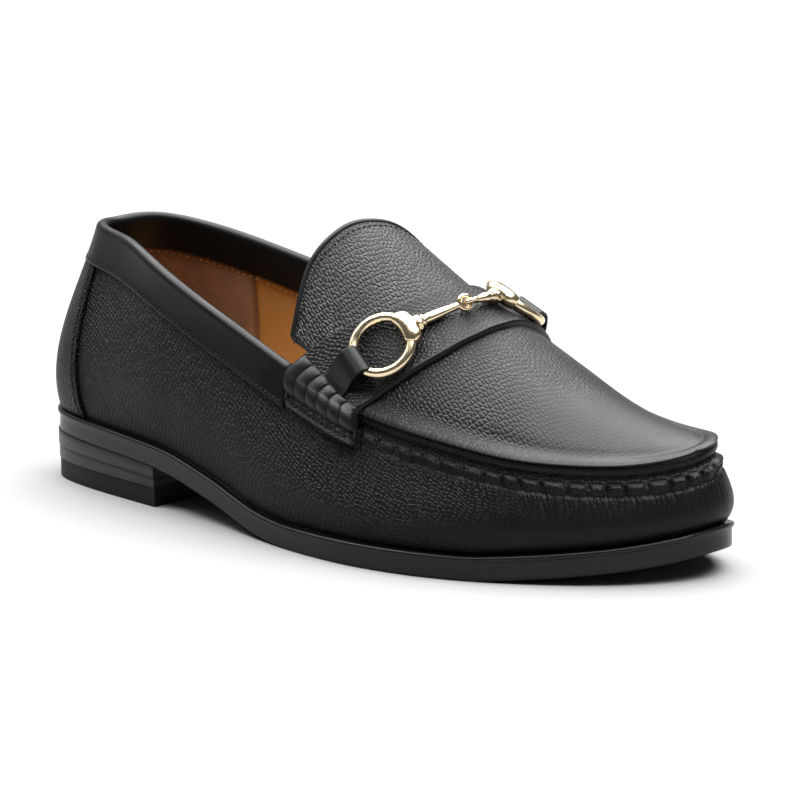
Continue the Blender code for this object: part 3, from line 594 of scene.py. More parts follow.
def new_material(name, colour, roughness, metallic=0.0, coat=0.0, coat_roughness=0.2, level=0.5):
    made = bpy.data.materials.new(name)
    made.use_nodes = True
    shader = made.node_tree.nodes["Principled BSDF"]
    shader.inputs["Base Color"].default_value = linear(colour)
    shader.inputs["Roughness"].default_value = roughness
    shader.inputs["Metallic"].default_value = metallic
    shader.inputs["Coat Weight"].default_value = coat
    shader.inputs["Coat Roughness"].default_value = coat_roughness
    shader.inputs["Specular IOR Level"].default_value = level
    shader.inputs["IOR"].default_value = 1.5
    return made, made.node_tree, shader


def raise_surface(tree, shader, height, strength, distance):
    bump = add_node(tree, "Bump", Height=height, Strength=strength, Distance=distance)
    tree.links.new(bump.outputs[0], shader.inputs["Normal"])


def colour_between(tree, shader, share, first, second):
    mixed = add_node(tree, "Mix", {"data_type": "RGBA"}, i0=share, i6=linear(first), i7=linear(second))
    tree.links.new(mixed.outputs[2], shader.inputs["Base Color"])


# %% [markdown]
# ## Grained leather
#
# The upper is calf leather, dyed black through and printed with a pebble grain: small raised
# pebbles about 1.6 mm apart with narrow creases between them, finished with a thin satin
# dressing. Over the toe the leather is pulled tight, so the pebbles flatten out there. The
# pebbles are cells of a Voronoi pattern, bent a little by noise so that no two are alike.

# %% Grained leather material
PEBBLE_LONG = 0.00185
PEBBLE_WIDE = 0.00150
PEBBLE_TURN = math.radians(24)
PEBBLE_BEND = 0.0016
PORE = 0.0005
GRAIN_TOP = "#0f0f11"
# Colour of the creases between pebbles, darker than the tops: a painted shade in the creases.
GRAIN_CREASE_SHADE = "#050506"
FLAT_FROM, FLAT_TO, FLAT_SHARE = 0.64, 0.86, 0.16
PLEAT_PITCH = 0.0014
PLEAT_LENGTH = 0.011
PLEAT_WEIGHT = 3.6


def ramp(tree, value, low, high, start=0.0, end=1.0, shape="SMOOTHSTEP"):
    """Goes from start to end while a value goes from low to high."""
    return add_node(
        tree, "MapRange", {"interpolation_type": shape},
        Value=value, From_Min=low, From_Max=high, To_Min=start, To_Max=end,
    ).outputs[0]


def combine(tree, operation, first, second):
    return add_node(tree, "Math", {"operation": operation}, i0=first, i1=second).outputs[0]


def noise(tree, place, scale, detail):
    return add_node(tree, "TexNoise", Vector=place, Scale=scale, Detail=detail)


def grained_leather(name, depth, toe_fade=True, pleats=False, level=0.28):
    made, tree, shader = new_material(
        name, GRAIN_TOP, 0.42, coat=0.04, coat_roughness=0.35, level=level
    )
    place = add_node(tree, "TexCoord").outputs["Object"]
    chart = add_node(tree, "UVMap", {"uv_map": "UVMap"}).outputs[0]
    bend = noise(tree, chart, 160.0, 1.0)
    shifted = add_node(
        tree, "VectorMath", {"operation": "MULTIPLY_ADD"}, i0=bend.outputs["Color"],
        i1=(PEBBLE_BEND,) * 3, i2=chart,
    )
    turned = add_node(
        tree, "Mapping", Vector=shifted.outputs[0], Rotation=(0.0, 0.0, PEBBLE_TURN),
        Scale=(1 / PEBBLE_LONG, 1 / PEBBLE_WIDE, 1.0),
    )
    cells = add_node(
        tree, "TexVoronoi", {"feature": "DISTANCE_TO_EDGE", "voronoi_dimensions": "2D"},
        Vector=turned.outputs[0], Scale=1.0, Randomness=0.62,
    )
    height = ramp(tree, cells.outputs["Distance"], 0.0, 0.34)
    along = add_node(tree, "SeparateXYZ", Vector=place).outputs["X"]
    if toe_fade:
        fade = ramp(tree, along, station_x(FLAT_FROM), station_x(FLAT_TO), 1.0, FLAT_SHARE)
        height = combine(tree, "MULTIPLY", height, fade)
    fine = noise(tree, place, 1 / PORE, 2.0)
    height = combine(tree, "ADD", height, combine(tree, "MULTIPLY", fine.outputs["Fac"], 0.10))
    if pleats:
        # Fine folds hang from the gathered seam and die out down the wall.
        down = add_node(tree, "SeparateXYZ", Vector=chart).outputs["Y"]
        stretched = add_node(
            tree, "Mapping", Vector=chart, Scale=(1 / PLEAT_PITCH, 1 / PLEAT_LENGTH, 1.0)
        )
        fold = add_node(
            tree, "TexNoise", {"noise_dimensions": "2D"}, Vector=stretched.outputs[0],
            Scale=1.0, Detail=1.0,
        )
        start = ramp(tree, down, -0.0100, -0.0080, 1.0, 0.0)
        reach = ramp(tree, down, -0.0210, -0.0105)
        front = ramp(tree, along, station_x(0.56), station_x(0.66))
        mask = combine(tree, "MULTIPLY", combine(tree, "MULTIPLY", start, reach), front)
        weighed = combine(tree, "MULTIPLY", fold.outputs["Fac"], PLEAT_WEIGHT)
        height = combine(tree, "ADD", height, combine(tree, "MULTIPLY", weighed, mask))
    raise_surface(tree, shader, height, 1.0, depth)
    # The creases between the pebbles are coloured darker than the tops: painted shade in the creases,
    # on top of the bump.
    crease = ramp(tree, cells.outputs["Distance"], 0.0, 0.16)
    colour_between(tree, shader, crease, GRAIN_CREASE_SHADE, GRAIN_TOP)
    gloss = ramp(tree, noise(tree, place, 38.0, 3.0).outputs["Fac"], 0.3, 0.7, 0.38, 0.50)
    tree.links.new(gloss, shader.inputs["Roughness"])
    return made


# One leather in five copies. The wall and heel copies reflect at half the strength of the apron's, as
# painted shade, and the tongue's reflects half again as strongly, as a painted sheen: shaded and lit
# copies of one material.
pebbled = grained_leather("pebbled black calf", 0.00036)
pebbled_wall = grained_leather("pebbled black calf, gathered wall", 0.00032, pleats=True, level=0.14)
pebbled_heel = grained_leather("pebbled black calf, heel", 0.00028, level=0.14)
pebbled_tongue_brighter = grained_leather("pebbled black calf, tongue", 0.00032, toe_fade=False, level=0.42)
pebbled_strap = grained_leather("pebbled black calf, saddle", 0.00022, toe_fade=False)


# %% [markdown]
# ## Smooth leathers, suede, thread, sole and gilt
#
# The collar's binding, the keepers and the piping are smooth black calf. Inside there is a tan
# calf lining and a brown suede grip round the heel. The sole's edge and the heel's lifts are
# stacked vegetable-tanned leather, stained black and waxed, with faint lines where the layers
# and the burnishing iron ran. The bit is brass with a pale gold plating, polished.

# %% The other materials
NAP = 0.0007


def smooth_leather(name, colour, roughness, grain=0.0004, depth=0.00006, coat=0.06, level=0.28):
    made, tree, shader = new_material(
        name, colour, roughness, coat=coat, coat_roughness=0.3, level=level
    )
    place = add_node(tree, "TexCoord").outputs["Object"]
    pores = noise(tree, place, 1 / grain, 3.0)
    waves = noise(tree, place, 70.0, 2.0)
    height = add_node(
        tree, "Math", {"operation": "MULTIPLY_ADD"},
        i0=waves.outputs["Fac"], i1=1.2, i2=pores.outputs["Fac"],
    )
    raise_surface(tree, shader, height.outputs[0], 0.7, depth)
    low, high = roughness - 0.05, roughness + 0.06
    gloss = ramp(tree, waves.outputs["Fac"], 0.3, 0.7, low, high, "LINEAR")
    tree.links.new(gloss, shader.inputs["Roughness"])
    return made


def layered_leather(name, colour, light, roughness, lines):
    """Stacked leather seen on its cut edge: thin lines that run level round the shoe."""
    made, tree, shader = new_material(
        name, colour, roughness, coat=0.06, coat_roughness=0.25, level=0.28
    )
    place = add_node(tree, "UVMap", {"uv_map": "UVMap"}).outputs[0]
    stretched = add_node(tree, "Mapping", Vector=place, Scale=(18.0, lines, 1.0))
    streak = noise(tree, stretched.outputs[0], 1.0, 4.0).outputs["Fac"]
    tone = ramp(tree, streak, 0.35, 0.70, shape="LINEAR")
    colour_between(tree, shader, tone, colour, light)
    raise_surface(tree, shader, streak, 0.6, 0.00010)
    return made


def napped_leather(name, colour, dark):
    made, tree, shader = new_material(name, colour, 0.95)
    shader.inputs["Sheen Weight"].default_value = 0.35
    shader.inputs["Sheen Roughness"].default_value = 0.5
    place = add_node(tree, "TexCoord").outputs["Object"]
    nap = noise(tree, place, 1 / NAP, 4.0).outputs["Fac"]
    patches = noise(tree, place, 90.0, 3.0).outputs["Fac"]
    both = combine(tree, "MULTIPLY", nap, patches)
    colour_between(tree, shader, ramp(tree, both, 0.12, 0.40, shape="LINEAR"), dark, colour)
    raise_surface(tree, shader, nap, 0.6, 0.0002)
    return made


smooth_black = smooth_leather("smooth black calf", "#09090a", 0.40, coat=0.02, level=0.22)
roll_black = smooth_leather(
    "black calf of the rolls", "#0d0d0e", 0.44, grain=0.0008, depth=0.00014, level=0.24
)
piping_black = smooth_leather("black piping", "#09090a", 0.40)
tan_lining = smooth_leather("tan calf lining", "#ab7d45", 0.55, coat=0.0)
brown_suede = napped_leather("brown suede", "#8a5f39", "#654426")
waxed_edge = layered_leather("waxed black sole edge", "#060607", "#0f0f10", 0.34, 9.0)
stacked_heel = layered_leather("stacked heel leather", "#19191a", "#2c2c2d", 0.42, 14.0)
heel_rubber = smooth_leather("heel rubber", "#0b0b0b", 0.62, grain=0.0009, depth=0.00012, coat=0.0)
black_thread = smooth_leather("black thread", "#161618", 0.6, coat=0.0)
cream_thread = smooth_leather("cream thread", "#b7a482", 0.7, coat=0.0)


def plated_brass(name):
    made, tree, shader = new_material(name, "#ead7b3", 0.2, metallic=1.0)
    place = add_node(tree, "TexCoord").outputs["Object"]
    buff = noise(tree, place, 300.0, 3.0).outputs["Fac"]
    gloss = ramp(tree, buff, 0.3, 0.7, 0.17, 0.26, "LINEAR")
    tree.links.new(gloss, shader.inputs["Roughness"])
    raise_surface(tree, shader, buff, 0.25, 0.00005)
    return made


gilt = plated_brass("polished gilt brass")


# %% [markdown]
# ## The raised seam
#
# Wall and apron are sewn together by hand over the last. The apron's edge stands up as a thin
# ridge, the thread runs in a band below it, and between the stitches the wall leather is gathered
# into small puffs about 5.5 mm long. Below each stitch a fine fold runs down the wall and dies
# out. The relief is worked out from the distance below the top edge and the length round the seam.

# %% Relief of the seam
SEAM_BEAD = 0.0016
BEAD_WIDTH = 0.0022
STITCH_PITCH = 0.0070
PUFF_HEIGHT = 0.0017
PUFF_AT = 0.0066
PUFF_WIDTH = 0.0018
THREAD_GROOVE = 0.00060
PINCH_DEPTH = 0.00045
CREASE_DEPTH, CREASE_AT = 0.00035, 0.0094
FOLD_DEPTH, FOLD_REACH = 0.00022, 0.0060
SEAM_STARTS = (8.6, 9.6)

SEAM_U = np.linspace(THROAT[lateral] - 1.0, THROAT[medial] + 1.0, 1400)
SEAM_TOP = section(SEAM_U)[:, 2:5]
SEAM_RUN = np.concatenate([[0], np.cumsum(np.linalg.norm(np.diff(SEAM_TOP, axis=0), axis=1))])
SEAM_PLAN = SEAM_TOP[:, :2]


def seam_fade(u):
    u = np.asarray(u, float) % SECTIONS
    from_back = (SECTIONS - u) * TIP_SECTION / (SECTIONS - TIP_SECTION)
    toward_tip = np.where(u < TIP_SECTION, u, from_back)
    return smooth_step(toward_tip, *SEAM_STARTS)


def pleat_phase(u, down):
    run = np.interp(np.asarray(u) % SECTIONS, SEAM_U, SEAM_RUN)
    wander = 0.14 * np.sin(run * 190.0) + 0.10 * np.sin(run * 71.0 + 1.3)
    return run / STITCH_PITCH + wander + (down - PUFF_AT) * 14.0


def seam_relief(u, down):
    """Height over the wall at a distance below the top edge."""
    phase = pleat_phase(u, down)
    number = np.floor(phase)
    within = np.abs(2 * (phase - number) - 1)
    swell = held(1 - within**2.2) ** 0.7
    size = 1 + 0.14 * np.sin(number * 2.4) + 0.10 * np.sin(number * 5.1)
    ridge = SEAM_BEAD * np.exp(-((down / BEAD_WIDTH) ** 4))
    groove = smooth_step(down, 0.0024, 0.0032) * (1 - smooth_step(down, 0.0042, 0.0052))
    body = bell(down, PUFF_AT, PUFF_WIDTH + 0.0003 * np.sin(number * 3.3))
    puff = PUFF_HEIGHT * size * body * (0.08 + 0.92 * swell)
    gap = smooth_step(down, 0.0040, 0.0058) * (1 - smooth_step(down, 0.0084, 0.0105))
    pinch = PINCH_DEPTH * (1 - swell) * gap
    crease = CREASE_DEPTH * bell(down, CREASE_AT, 0.0009)
    fading = smooth_step(down, 0.0084, 0.0105) * np.exp(-np.maximum(down - 0.0095, 0) / FOLD_REACH)
    turn = 2 * math.pi * phase
    folds = np.cos(3 * turn + 1.5 * np.sin(number * 1.9)) + 0.5 * np.cos(turn)
    drape = FOLD_DEPTH * fading * folds * (0.75 + 0.35 * np.sin(number * 1.7))
    return (ridge + puff - THREAD_GROOVE * groove - pinch - crease - drape) * seam_fade(u)


# %% [markdown]
# ## The wall
#
# The wall is one panel that runs all the way round, from the groove above the sole to the top
# edge. It has more columns round the toe, where the puffs are, and more rows near the seam.

# %% The upper's wall
def round_numbers(shares, fine, coarse):
    """Station numbers round the shoe, closer together along the seam than behind it."""
    u = np.linspace(0, SECTIONS, 3000)
    speed = np.linalg.norm(np.gradient(section(u)[:, 2:5], u, axis=0), axis=1)
    spacing = coarse + (fine - coarse) * seam_fade(u)
    total = np.concatenate([[0], np.cumsum((speed / spacing)[:-1] * np.diff(u))])
    return np.interp(shares, total / total[-1], u)


LEATHER = 0.0012
SEAM_ZONE = 0.0125
ZONE_SHARE = 0.52
FINE_COLUMN, COARSE_COLUMN = 0.00056, 0.0024


def wall_place(x, y):
    u = round_numbers(x, FINE_COLUMN, COARSE_COLUMN)
    height = wall_height(u)
    zone = 1 - SEAM_ZONE / height
    lower = zone * held(y / (1 - ZONE_SHARE))
    down = SEAM_ZONE * (1 - held((y - (1 - ZONE_SHARE)) / ZONE_SHARE))
    t = np.where(y < 1 - ZONE_SHARE, lower, 1 - down / height)
    point, normal = wall_point(u, t), wall_normal(u, t)
    depth = (1 - t) * height
    lean = smooth_step(depth, 0.0022, 0.0)[:, None] * seam_fade(u)[:, None]
    rim = apron_normal(point[:, 0], point[:, 1])
    normal = unit(normal + rim * lean)
    return point + normal * seam_relief(u, depth)[:, None]


wall_piece = panel(
    "upper_wall", 720, 48, wall_place, pebbled_wall, chart=lengths_chart, thickness=LEATHER
)
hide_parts("upper")


# %% [markdown]
# ## The apron
#
# The apron is the panel over the toes and the instep. Its grid fans out from a line down the
# middle to the seam, all the way round the toe, so its rows run along the seam. Its edge turns up
# into the ridge, with a soft valley inside.

# %% The apron
SPINE_END = 0.030
SPINE_SHARE = 0.62
RIM_ZONE = 0.0075
VALLEY_DEPTH, VALLEY_AT, VALLEY_WIDTH = 0.00025, 0.0044, 0.0015
THROAT_MIDDLE = np.array([float(joint_x(0.5)), float(instep_point(joint_x(0.5), 0.5)[1])])
TIP_POINT = section(TIP_SECTION)[2:4]
SPINE_TIP = TIP_POINT + unit(THROAT_MIDDLE - TIP_POINT) * SPINE_END


def from_seam(x, y):
    """Distance to the top edge in plan, and the nearest station number on it."""
    best = np.full(len(x), 1.0)
    where = np.zeros(len(x), int)
    for start in range(0, len(SEAM_PLAN), 100):
        part = SEAM_PLAN[start : start + 100]
        apart = np.hypot(x[:, None] - part[None, :, 0], y[:, None] - part[None, :, 1])
        k = apart.argmin(axis=1)
        near = apart[np.arange(len(x)), k]
        better = near < best
        best[better], where[better] = near[better], k[better] + start
    return best, SEAM_U[where]


def apron_place(x, y):
    """x goes along the seam from throat to throat, y from the middle line out to the seam."""
    along = 1 - np.abs(2 * x - 1)
    near_side = THROAT[lateral] + (TIP_SECTION - THROAT[lateral]) * along
    far_side = THROAT[medial] + (TIP_SECTION - THROAT[medial]) * along
    u = np.where(x < 0.5, near_side, far_side)
    edge = section(u)[:, 2:4]
    spine = THROAT_MIDDLE + (SPINE_TIP - THROAT_MIDDLE) * held(along / SPINE_SHARE)[:, None]
    reach = np.linalg.norm(edge - spine, axis=1)
    inset = np.where(y > 0.5, RIM_ZONE * (1 - y) * 2, RIM_ZONE + (reach - RIM_ZONE) * (1 - 2 * y))
    plan = edge + (spine - edge) * (inset / reach)[:, None]
    px, py = plan.T
    apart, nearest = from_seam(px, py)
    base = np.stack([px, py, instep_height(px, py)], axis=-1)
    normal = apron_normal(px, py)
    outer = wall_normal(nearest, np.ones_like(nearest))
    rim = unit(normal + outer * smooth_step(apart, 0.0024, 0.0)[:, None])
    ridge = SEAM_BEAD * np.exp(-((apart / BEAD_WIDTH) ** 3))
    valley = VALLEY_DEPTH * bell(apart, VALLEY_AT, VALLEY_WIDTH)
    return base + rim * ((ridge - valley) * seam_fade(nearest))[:, None]


apron_piece = panel(
    "apron", 380, 56, apron_place, pebbled, chart=instep_chart, thickness=LEATHER
)
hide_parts("upper")


# %% Thread in the seam
def seam_threads():
    """Three slanted turns of thread for each puff, lying in the band under the ridge."""
    turns = int((SEAM_RUN[-1] - SEAM_RUN[0]) / (STITCH_PITCH / 3))
    reach = np.linspace(SEAM_RUN[0], SEAM_RUN[-1], turns)
    u = np.interp(reach, SEAM_RUN, SEAM_U)
    u = u[seam_fade(u) > 0.6]
    depth = np.full(len(u), 0.0034)
    t = below(u, depth)
    normals = wall_normal(u, t)
    points = wall_point(u, t) + normals * (seam_relief(u, depth) + 0.00012)[:, None]
    along = unit(wall_point(u + STEP, t) - wall_point(u - STEP, t))
    runs = along * 0.75 + np.cross(normals, along) * 0.66
    return stitch_row("seam_threads", points, normals, runs, 0.0026, 0.00055, black_thread)


seam_threads()


# %% [markdown]
# ## Lining and heel grip
#
# The wall is lined with thin tan calf. Round the heel a suede grip is sewn over it, so that the
# foot doesn't slip. Its front edges run down the two sides about 45 mm from the back.

# %% Lining
BAND_INSIDE = 0.0120
LINING_FOOT, GRIP_LOW = 0.02, 0.03


def lining_place(x, y):
    u = round_numbers(x, 0.003, 0.003)
    top = np.where(seam_fade(u) > 0.5, 0.001, BAND_INSIDE - 0.002)
    t = LINING_FOOT + (1 - top / wall_height(u) - LINING_FOOT) * y
    return wall_point(u, t) - wall_normal(u, t) * (LEATHER + 0.00005)


lining = panel("lining", 200, 24, lining_place, tan_lining, thickness=0.0007)
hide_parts("upper")

GRIP_FOOT, GRIP_TOP = 3.9, 3.75


def grip_place(x, y):
    reach = GRIP_FOOT + (GRIP_TOP - GRIP_FOOT) * y
    u = reach * (2 * x - 1)
    t = GRIP_LOW + (1 - (BAND_INSIDE - 0.001) / wall_height(u) - GRIP_LOW) * y
    return wall_point(u, t) - wall_normal(u, t) * (WALL + 0.00002)


grip = panel("heel_grip", 80, 20, grip_place, brown_suede, thickness=0.0006)
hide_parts("upper")


# %% [markdown]
# ## Sole, heel and insole
#
# The sole is cut a little larger than the upper, so a rim shows all round. Its edge is trimmed
# upright with a thin lip at the top, stained and waxed. Under the heel lie two wedge lifts and a
# rubber piece. Each is a loop of grids: a side strip and two faces made of rungs.

# %% Outsole
EDGE_ROUND = 0.0008


def rungs(height, inset):
    """A face across the shoe, from rungs between the lateral and the medial edge."""

    def place(x, y):
        near, far = sole_edge(lateral(eased(x)), inset), sole_edge(medial(eased(x)), inset)
        plan = near + (far - near) * y[:, None]
        return np.concatenate([plan, height(plan[:, 0])[:, None]], axis=-1)

    return place


def paired_numbers(x):
    """Stations round the shoe that meet the ends of the rungs."""
    along = eased(1 - np.abs(2 * x - 1))
    return np.where(x <= 0.5, lateral(along), medial(along))


SOLE_PROFILE = (
    (EDGE_ROUND, 0.0),
    (0.0009, 0.00025),
    (0.0007, EDGE_ROUND),
    (0.0008, SOLE_EDGE * 0.35),
    (0.0009, SOLE_EDGE * 0.62),
    (0.0007, SOLE_EDGE - 0.0020),
    (0.00015, SOLE_EDGE - 0.0017),
    (0.0, SOLE_EDGE - 0.0009),
    (0.0003, SOLE_EDGE - 0.00025),
    (EDGE_ROUND, SOLE_EDGE),
)


def strip_place(profile, base):
    insets, rises = np.array(profile).T

    def place(x, y):
        u = paired_numbers(x)
        k = y * (len(profile) - 1)
        plan = sole_edge(u, np.interp(k, np.arange(len(profile)), insets))
        rise = np.interp(k, np.arange(len(profile)), rises)
        return np.concatenate([plan, (base(plan[:, 0]) + rise)[:, None]], axis=-1)

    return place


def close_up(shape):
    bmesh.ops.remove_doubles(shape, verts=shape.verts, dist=1e-5)
    bmesh.ops.recalc_face_normals(shape, faces=shape.faces)


RUNGS = 120
outsole_shape = bmesh.new()
lay_grid(outsole_shape, 2 * RUNGS, 3 * (len(SOLE_PROFILE) - 1), strip_place(SOLE_PROFILE, underside))
lay_grid(outsole_shape, RUNGS, 24, rungs(sole_top, EDGE_ROUND))
lay_grid(outsole_shape, RUNGS, 24, rungs(underside, EDGE_ROUND))
close_up(outsole_shape)
outsole = finish_piece("outsole_leather", outsole_shape, waxed_edge, merge=0.0)
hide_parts("outsole")


# %% Heel lifts
def breast_share(side):
    shares = np.linspace(0, 0.6, 600)
    return float(np.interp(station_x(0) + BREAST_ALONG, sole_edge(side(shares), 0.0)[:, 0], shares))


BREAST = {side: breast_share(side) for side in (lateral, medial)}
BREAST_HOLLOW = 0.0012
SIDE_SHARE = 0.4
HEEL_RUNGS = 40
LAYER_GAP = 0.00005


def heel_loop(x, inset):
    """Points round a lift: lateral side, straight breast, medial side. x runs from 0 to 1."""
    along = eased(held(x / SIDE_SHARE))
    back = eased(held((1 - x) / SIDE_SHARE))
    near = sole_edge(lateral(BREAST[lateral] * along), inset)
    far = sole_edge(medial(BREAST[medial] * back), inset)
    f = held((x - SIDE_SHARE) / (1 - 2 * SIDE_SHARE))[:, None]
    across = near * (1 - f) + far * f
    across[:, 0] -= BREAST_HOLLOW * np.sin(math.pi * f[:, 0])
    return np.where(f <= 0, near, np.where(f >= 1, far, across))


def make_lift(name, low, high, profile, material):
    insets, rises = np.array(profile).T

    def side_place(x, y):
        k = y * (len(profile) - 1)
        plan = heel_loop(x, np.interp(k, np.arange(len(profile)), insets))
        f = np.interp(k, np.arange(len(profile)), rises)
        bottom, top = low(plan[:, 0]), high(plan[:, 0])
        return np.concatenate([plan, (bottom + (top - bottom) * f)[:, None]], axis=-1)

    def face_place(height, inset):
        def place(x, y):
            lap = np.full(len(x), inset)
            near, far = heel_loop(x * SIDE_SHARE, lap), heel_loop(1 - x * SIDE_SHARE, lap)
            plan = near + (far - near) * y[:, None]
            plan[:, 0] -= BREAST_HOLLOW * np.sin(math.pi * y) * (x > 0.9999)
            return np.concatenate([plan, height(plan[:, 0])[:, None]], axis=-1)

        return place

    shape = bmesh.new()
    lay_grid(shape, 5 * HEEL_RUNGS // 2, 2 * (len(profile) - 1), side_place)
    lay_grid(shape, HEEL_RUNGS, HEEL_RUNGS // 2, face_place(high, insets[-1]))
    lay_grid(shape, HEEL_RUNGS, HEEL_RUNGS // 2, face_place(low, insets[0]))
    close_up(shape)
    piece = finish_piece(name + "_layer", shape, material, merge=0.0)
    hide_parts(name)


def ground(x):
    return np.zeros(len(x))


def rubber_top(x):
    return np.full(len(x), TOP_LIFT)


def stack_top(x):
    return underside(x) - LAYER_GAP


def stack_split(x):
    return TOP_LIFT + (stack_top(x) - TOP_LIFT) / 2


def above(height):
    return lambda x: height(x) + LAYER_GAP


LIFT_PROFILE = ((0.00008, 0.0), (0.0, 0.03), (0.0, 0.97), (0.00008, 1.0))


def tapered(height):
    inset = LIFT_TAPER * (1 - height / HEEL_STACK)
    return [(inset + more, f) for more, f in LIFT_PROFILE]


# The middle height of each lift gives how far it stands in.
make_lift("top_lift", ground, rubber_top, tapered(0.0037), heel_rubber)
make_lift("heel_lift_2", above(rubber_top), stack_split, tapered(0.0103), stacked_heel)
make_lift("heel_lift_1", above(stack_split), stack_top, tapered(0.0153), stacked_heel)


# %% Insole
INSOLE_RISE = 0.0030
INSOLE_INSET = 0.0060


def insole_height(x):
    return sole_top(x) + INSOLE_RISE


insole_shape = bmesh.new()
lay_grid(insole_shape, RUNGS, 16, rungs(insole_height, INSOLE_INSET))
insole = finish_piece("sock", insole_shape, tan_lining, thickness=0.0022, merge=1e-5)
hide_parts("insole")


# %% [markdown]
# ## Tongue
#
# The tongue rises out of the apron under the saddle. It is grained calf on the outside and tan
# calf inside, with a piping round its free edge and a row of stitches just inside it.

# %% Tongue
tongue_rear = steady_curve([row[0] for row in TONGUE_EDGE], [row[1] for row in TONGUE_EDGE])
TONGUE_SIDES = (TONGUE_EDGE[0][0], TONGUE_EDGE[-1][0])


def tongue_spot(x, y):
    share = TONGUE_SIDES[0] + (TONGUE_SIDES[1] - TONGUE_SIDES[0]) * y
    rear, front = station_x(tongue_rear(share)), joint_x(share)
    return rear + (front - rear) * x, share


def tongue_place(x, y):
    px, share = tongue_spot(x, y)
    return instep_point(px, share)


def tongue_inner_place(x, y):
    px, share = tongue_spot(x, y)
    return instep_point(px, share) - instep_normal(px, share) * (LEATHER + LAYER_GAP)


tongue = panel(
    "tongue_leather", 50, 60, tongue_place, pebbled_tongue_brighter, chart=instep_chart, thickness=LEATHER
)
tongue_inside = panel("tongue_lining", 40, 50, tongue_inner_place, tan_lining, thickness=0.0009)
for piece, slot in ((tongue, "grained_leather"), (tongue_inside, "insole_leather")):
    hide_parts("tongue")

PIPING_RADIUS = 0.00125
PIPING_SUNK = 0.0007
ROW_INSIDE = 0.055


def tongue_line(inside):
    px, share = tongue_spot(np.full(160, inside), np.linspace(0, 1, 160))
    return instep_point(px, share), instep_normal(px, share)


edge_points, edge_normals = tongue_line(0.0)
middle_points = edge_points - edge_normals * PIPING_SUNK
piping = tube("tongue_piping", middle_points, edge_normals, PIPING_RADIUS, piping_black)
row_points, row_normals = tongue_line(ROW_INSIDE)
stitches = sewn_row(
    "tongue_stitches", row_points, row_normals, 0.0023, 0.0017, 0.0006, black_thread, proud=0.0001
)


# %% [markdown]
# ## Collar band
#
# A strip of smooth calf is folded over the topline, from one end of the saddle round the heel to
# the other. Its section goes up the outside, over the edge in a round fold, and down the inside.

# %% Collar band
BAND_OUTSIDE = 0.0135
BAND_THICKNESS = 0.0010
BAND_EDGE = 0.00025
BAND_END = {
    lateral: float(section_of_top(lateral, station_x(SADDLE_EDGES[0][1]))),
    medial: float(section_of_top(medial, station_x(SADDLE_EDGES[-1][1]))) - SECTIONS,
}
FOLD_RADIUS = WALL / 2 + CLEARANCE


def band_place(x, y):
    u = BAND_END[medial] + (BAND_END[lateral] - BAND_END[medial]) * x
    over = math.pi * FOLD_RADIUS
    whole = BAND_OUTSIDE + over + BAND_INSIDE
    q = y * whole
    outside, inside = q < BAND_OUTSIDE, q > BAND_OUTSIDE + over
    down = np.where(outside, BAND_OUTSIDE - q, np.where(inside, q - BAND_OUTSIDE - over, 0.0))
    t = below(u, down)
    point, normal = wall_point(u, t), wall_normal(u, t)
    angle = held((q - BAND_OUTSIDE) / over) * math.pi
    up = unit(wall_point(u, np.ones_like(u)) - wall_point(u, np.full(len(u), 0.96)))
    middle = point - normal * WALL / 2
    edge = BAND_EDGE * bell(q, 0.0, 0.0012)
    aside = normal * (np.cos(angle) * (FOLD_RADIUS + edge))[:, None]
    return middle + aside + up * (np.sin(angle) * FOLD_RADIUS)[:, None]


band = panel("collar_binding", 220, 40, band_place, smooth_black, thickness=BAND_THICKNESS, offset=1.0)
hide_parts("collar_band")


def wall_line(down, proud):
    """A line round the shoe at one distance below the top edge, and its normals."""
    u = np.linspace(BAND_END[medial] + 0.1, BAND_END[lateral] - 0.1, 700)
    t = below(u, np.full(len(u), down))
    normal = wall_normal(u, t)
    return wall_point(u, t) + normal * proud, normal


outer_line = wall_line(BAND_OUTSIDE - 0.0014, 0.00135)
row = sewn_row("band_stitches", *outer_line, 0.0024, 0.0017, 0.00050, black_thread)
inner_line = wall_line(BAND_INSIDE + 0.0015, -0.0026)
row = sewn_row("lining_stitches", *inner_line, 0.0030, 0.0019, 0.00060, cream_thread)


# %% [markdown]
# ## Heel counter
#
# The counter is a second layer of grained calf round the heel, under the band. It hides the back
# seam and stiffens the heel. Its front edges are turned and stitched, so they show as a thin
# ridge with a groove behind it.

# %% Heel counter
COUNTER_FOOT, COUNTER_TOP = 3.45, 2.65
COUNTER_LOW = 0.012
COUNTER_LEATHER = 0.0010
GROOVE_DEPTH, GROOVE_AT, GROOVE_WIDTH = 0.00055, 0.0026, 0.0007
TURN_DEPTH, TURN_AT, TURN_WIDTH = 0.00030, 0.0009, 0.0008


def counter_place(x, y):
    reach = COUNTER_FOOT + (COUNTER_TOP - COUNTER_FOOT) * y
    side = 2 * x - 1
    u = reach * np.sign(side) * np.abs(side) ** 0.8
    top = 1 - (BAND_OUTSIDE - 0.0005) / wall_height(u)
    t = COUNTER_LOW + (top - COUNTER_LOW) * y
    point, normal = wall_point(u, t), wall_normal(u, t)
    width = np.linalg.norm(wall_point(u + 0.05, t) - wall_point(u - 0.05, t), axis=-1) / 0.1
    inset = (reach - np.abs(u)) * width
    groove = GROOVE_DEPTH * bell(inset, GROOVE_AT, GROOVE_WIDTH)
    ridge = TURN_DEPTH * bell(inset, TURN_AT, TURN_WIDTH)
    drop = 0.0009 * smooth_step(inset, 0.0005, 0.0)
    return point + normal * (0.0011 - groove + ridge - drop)[:, None]


counter = panel(
    "counter_overlay", 160, 40, counter_place, pebbled_heel, chart=lengths_chart,
    thickness=COUNTER_LEATHER,
)
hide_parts("heel_counter")


# %% [markdown]
# ## Saddle
#
# The saddle is a strap of grained calf over the instep. Its edges are folded under, so they are
# round and thick. At each side it ends in a roll: the strap is rolled over a cord and whipped with
# six wraps, and a flat tab with a stitched edge hangs below it on the wall.

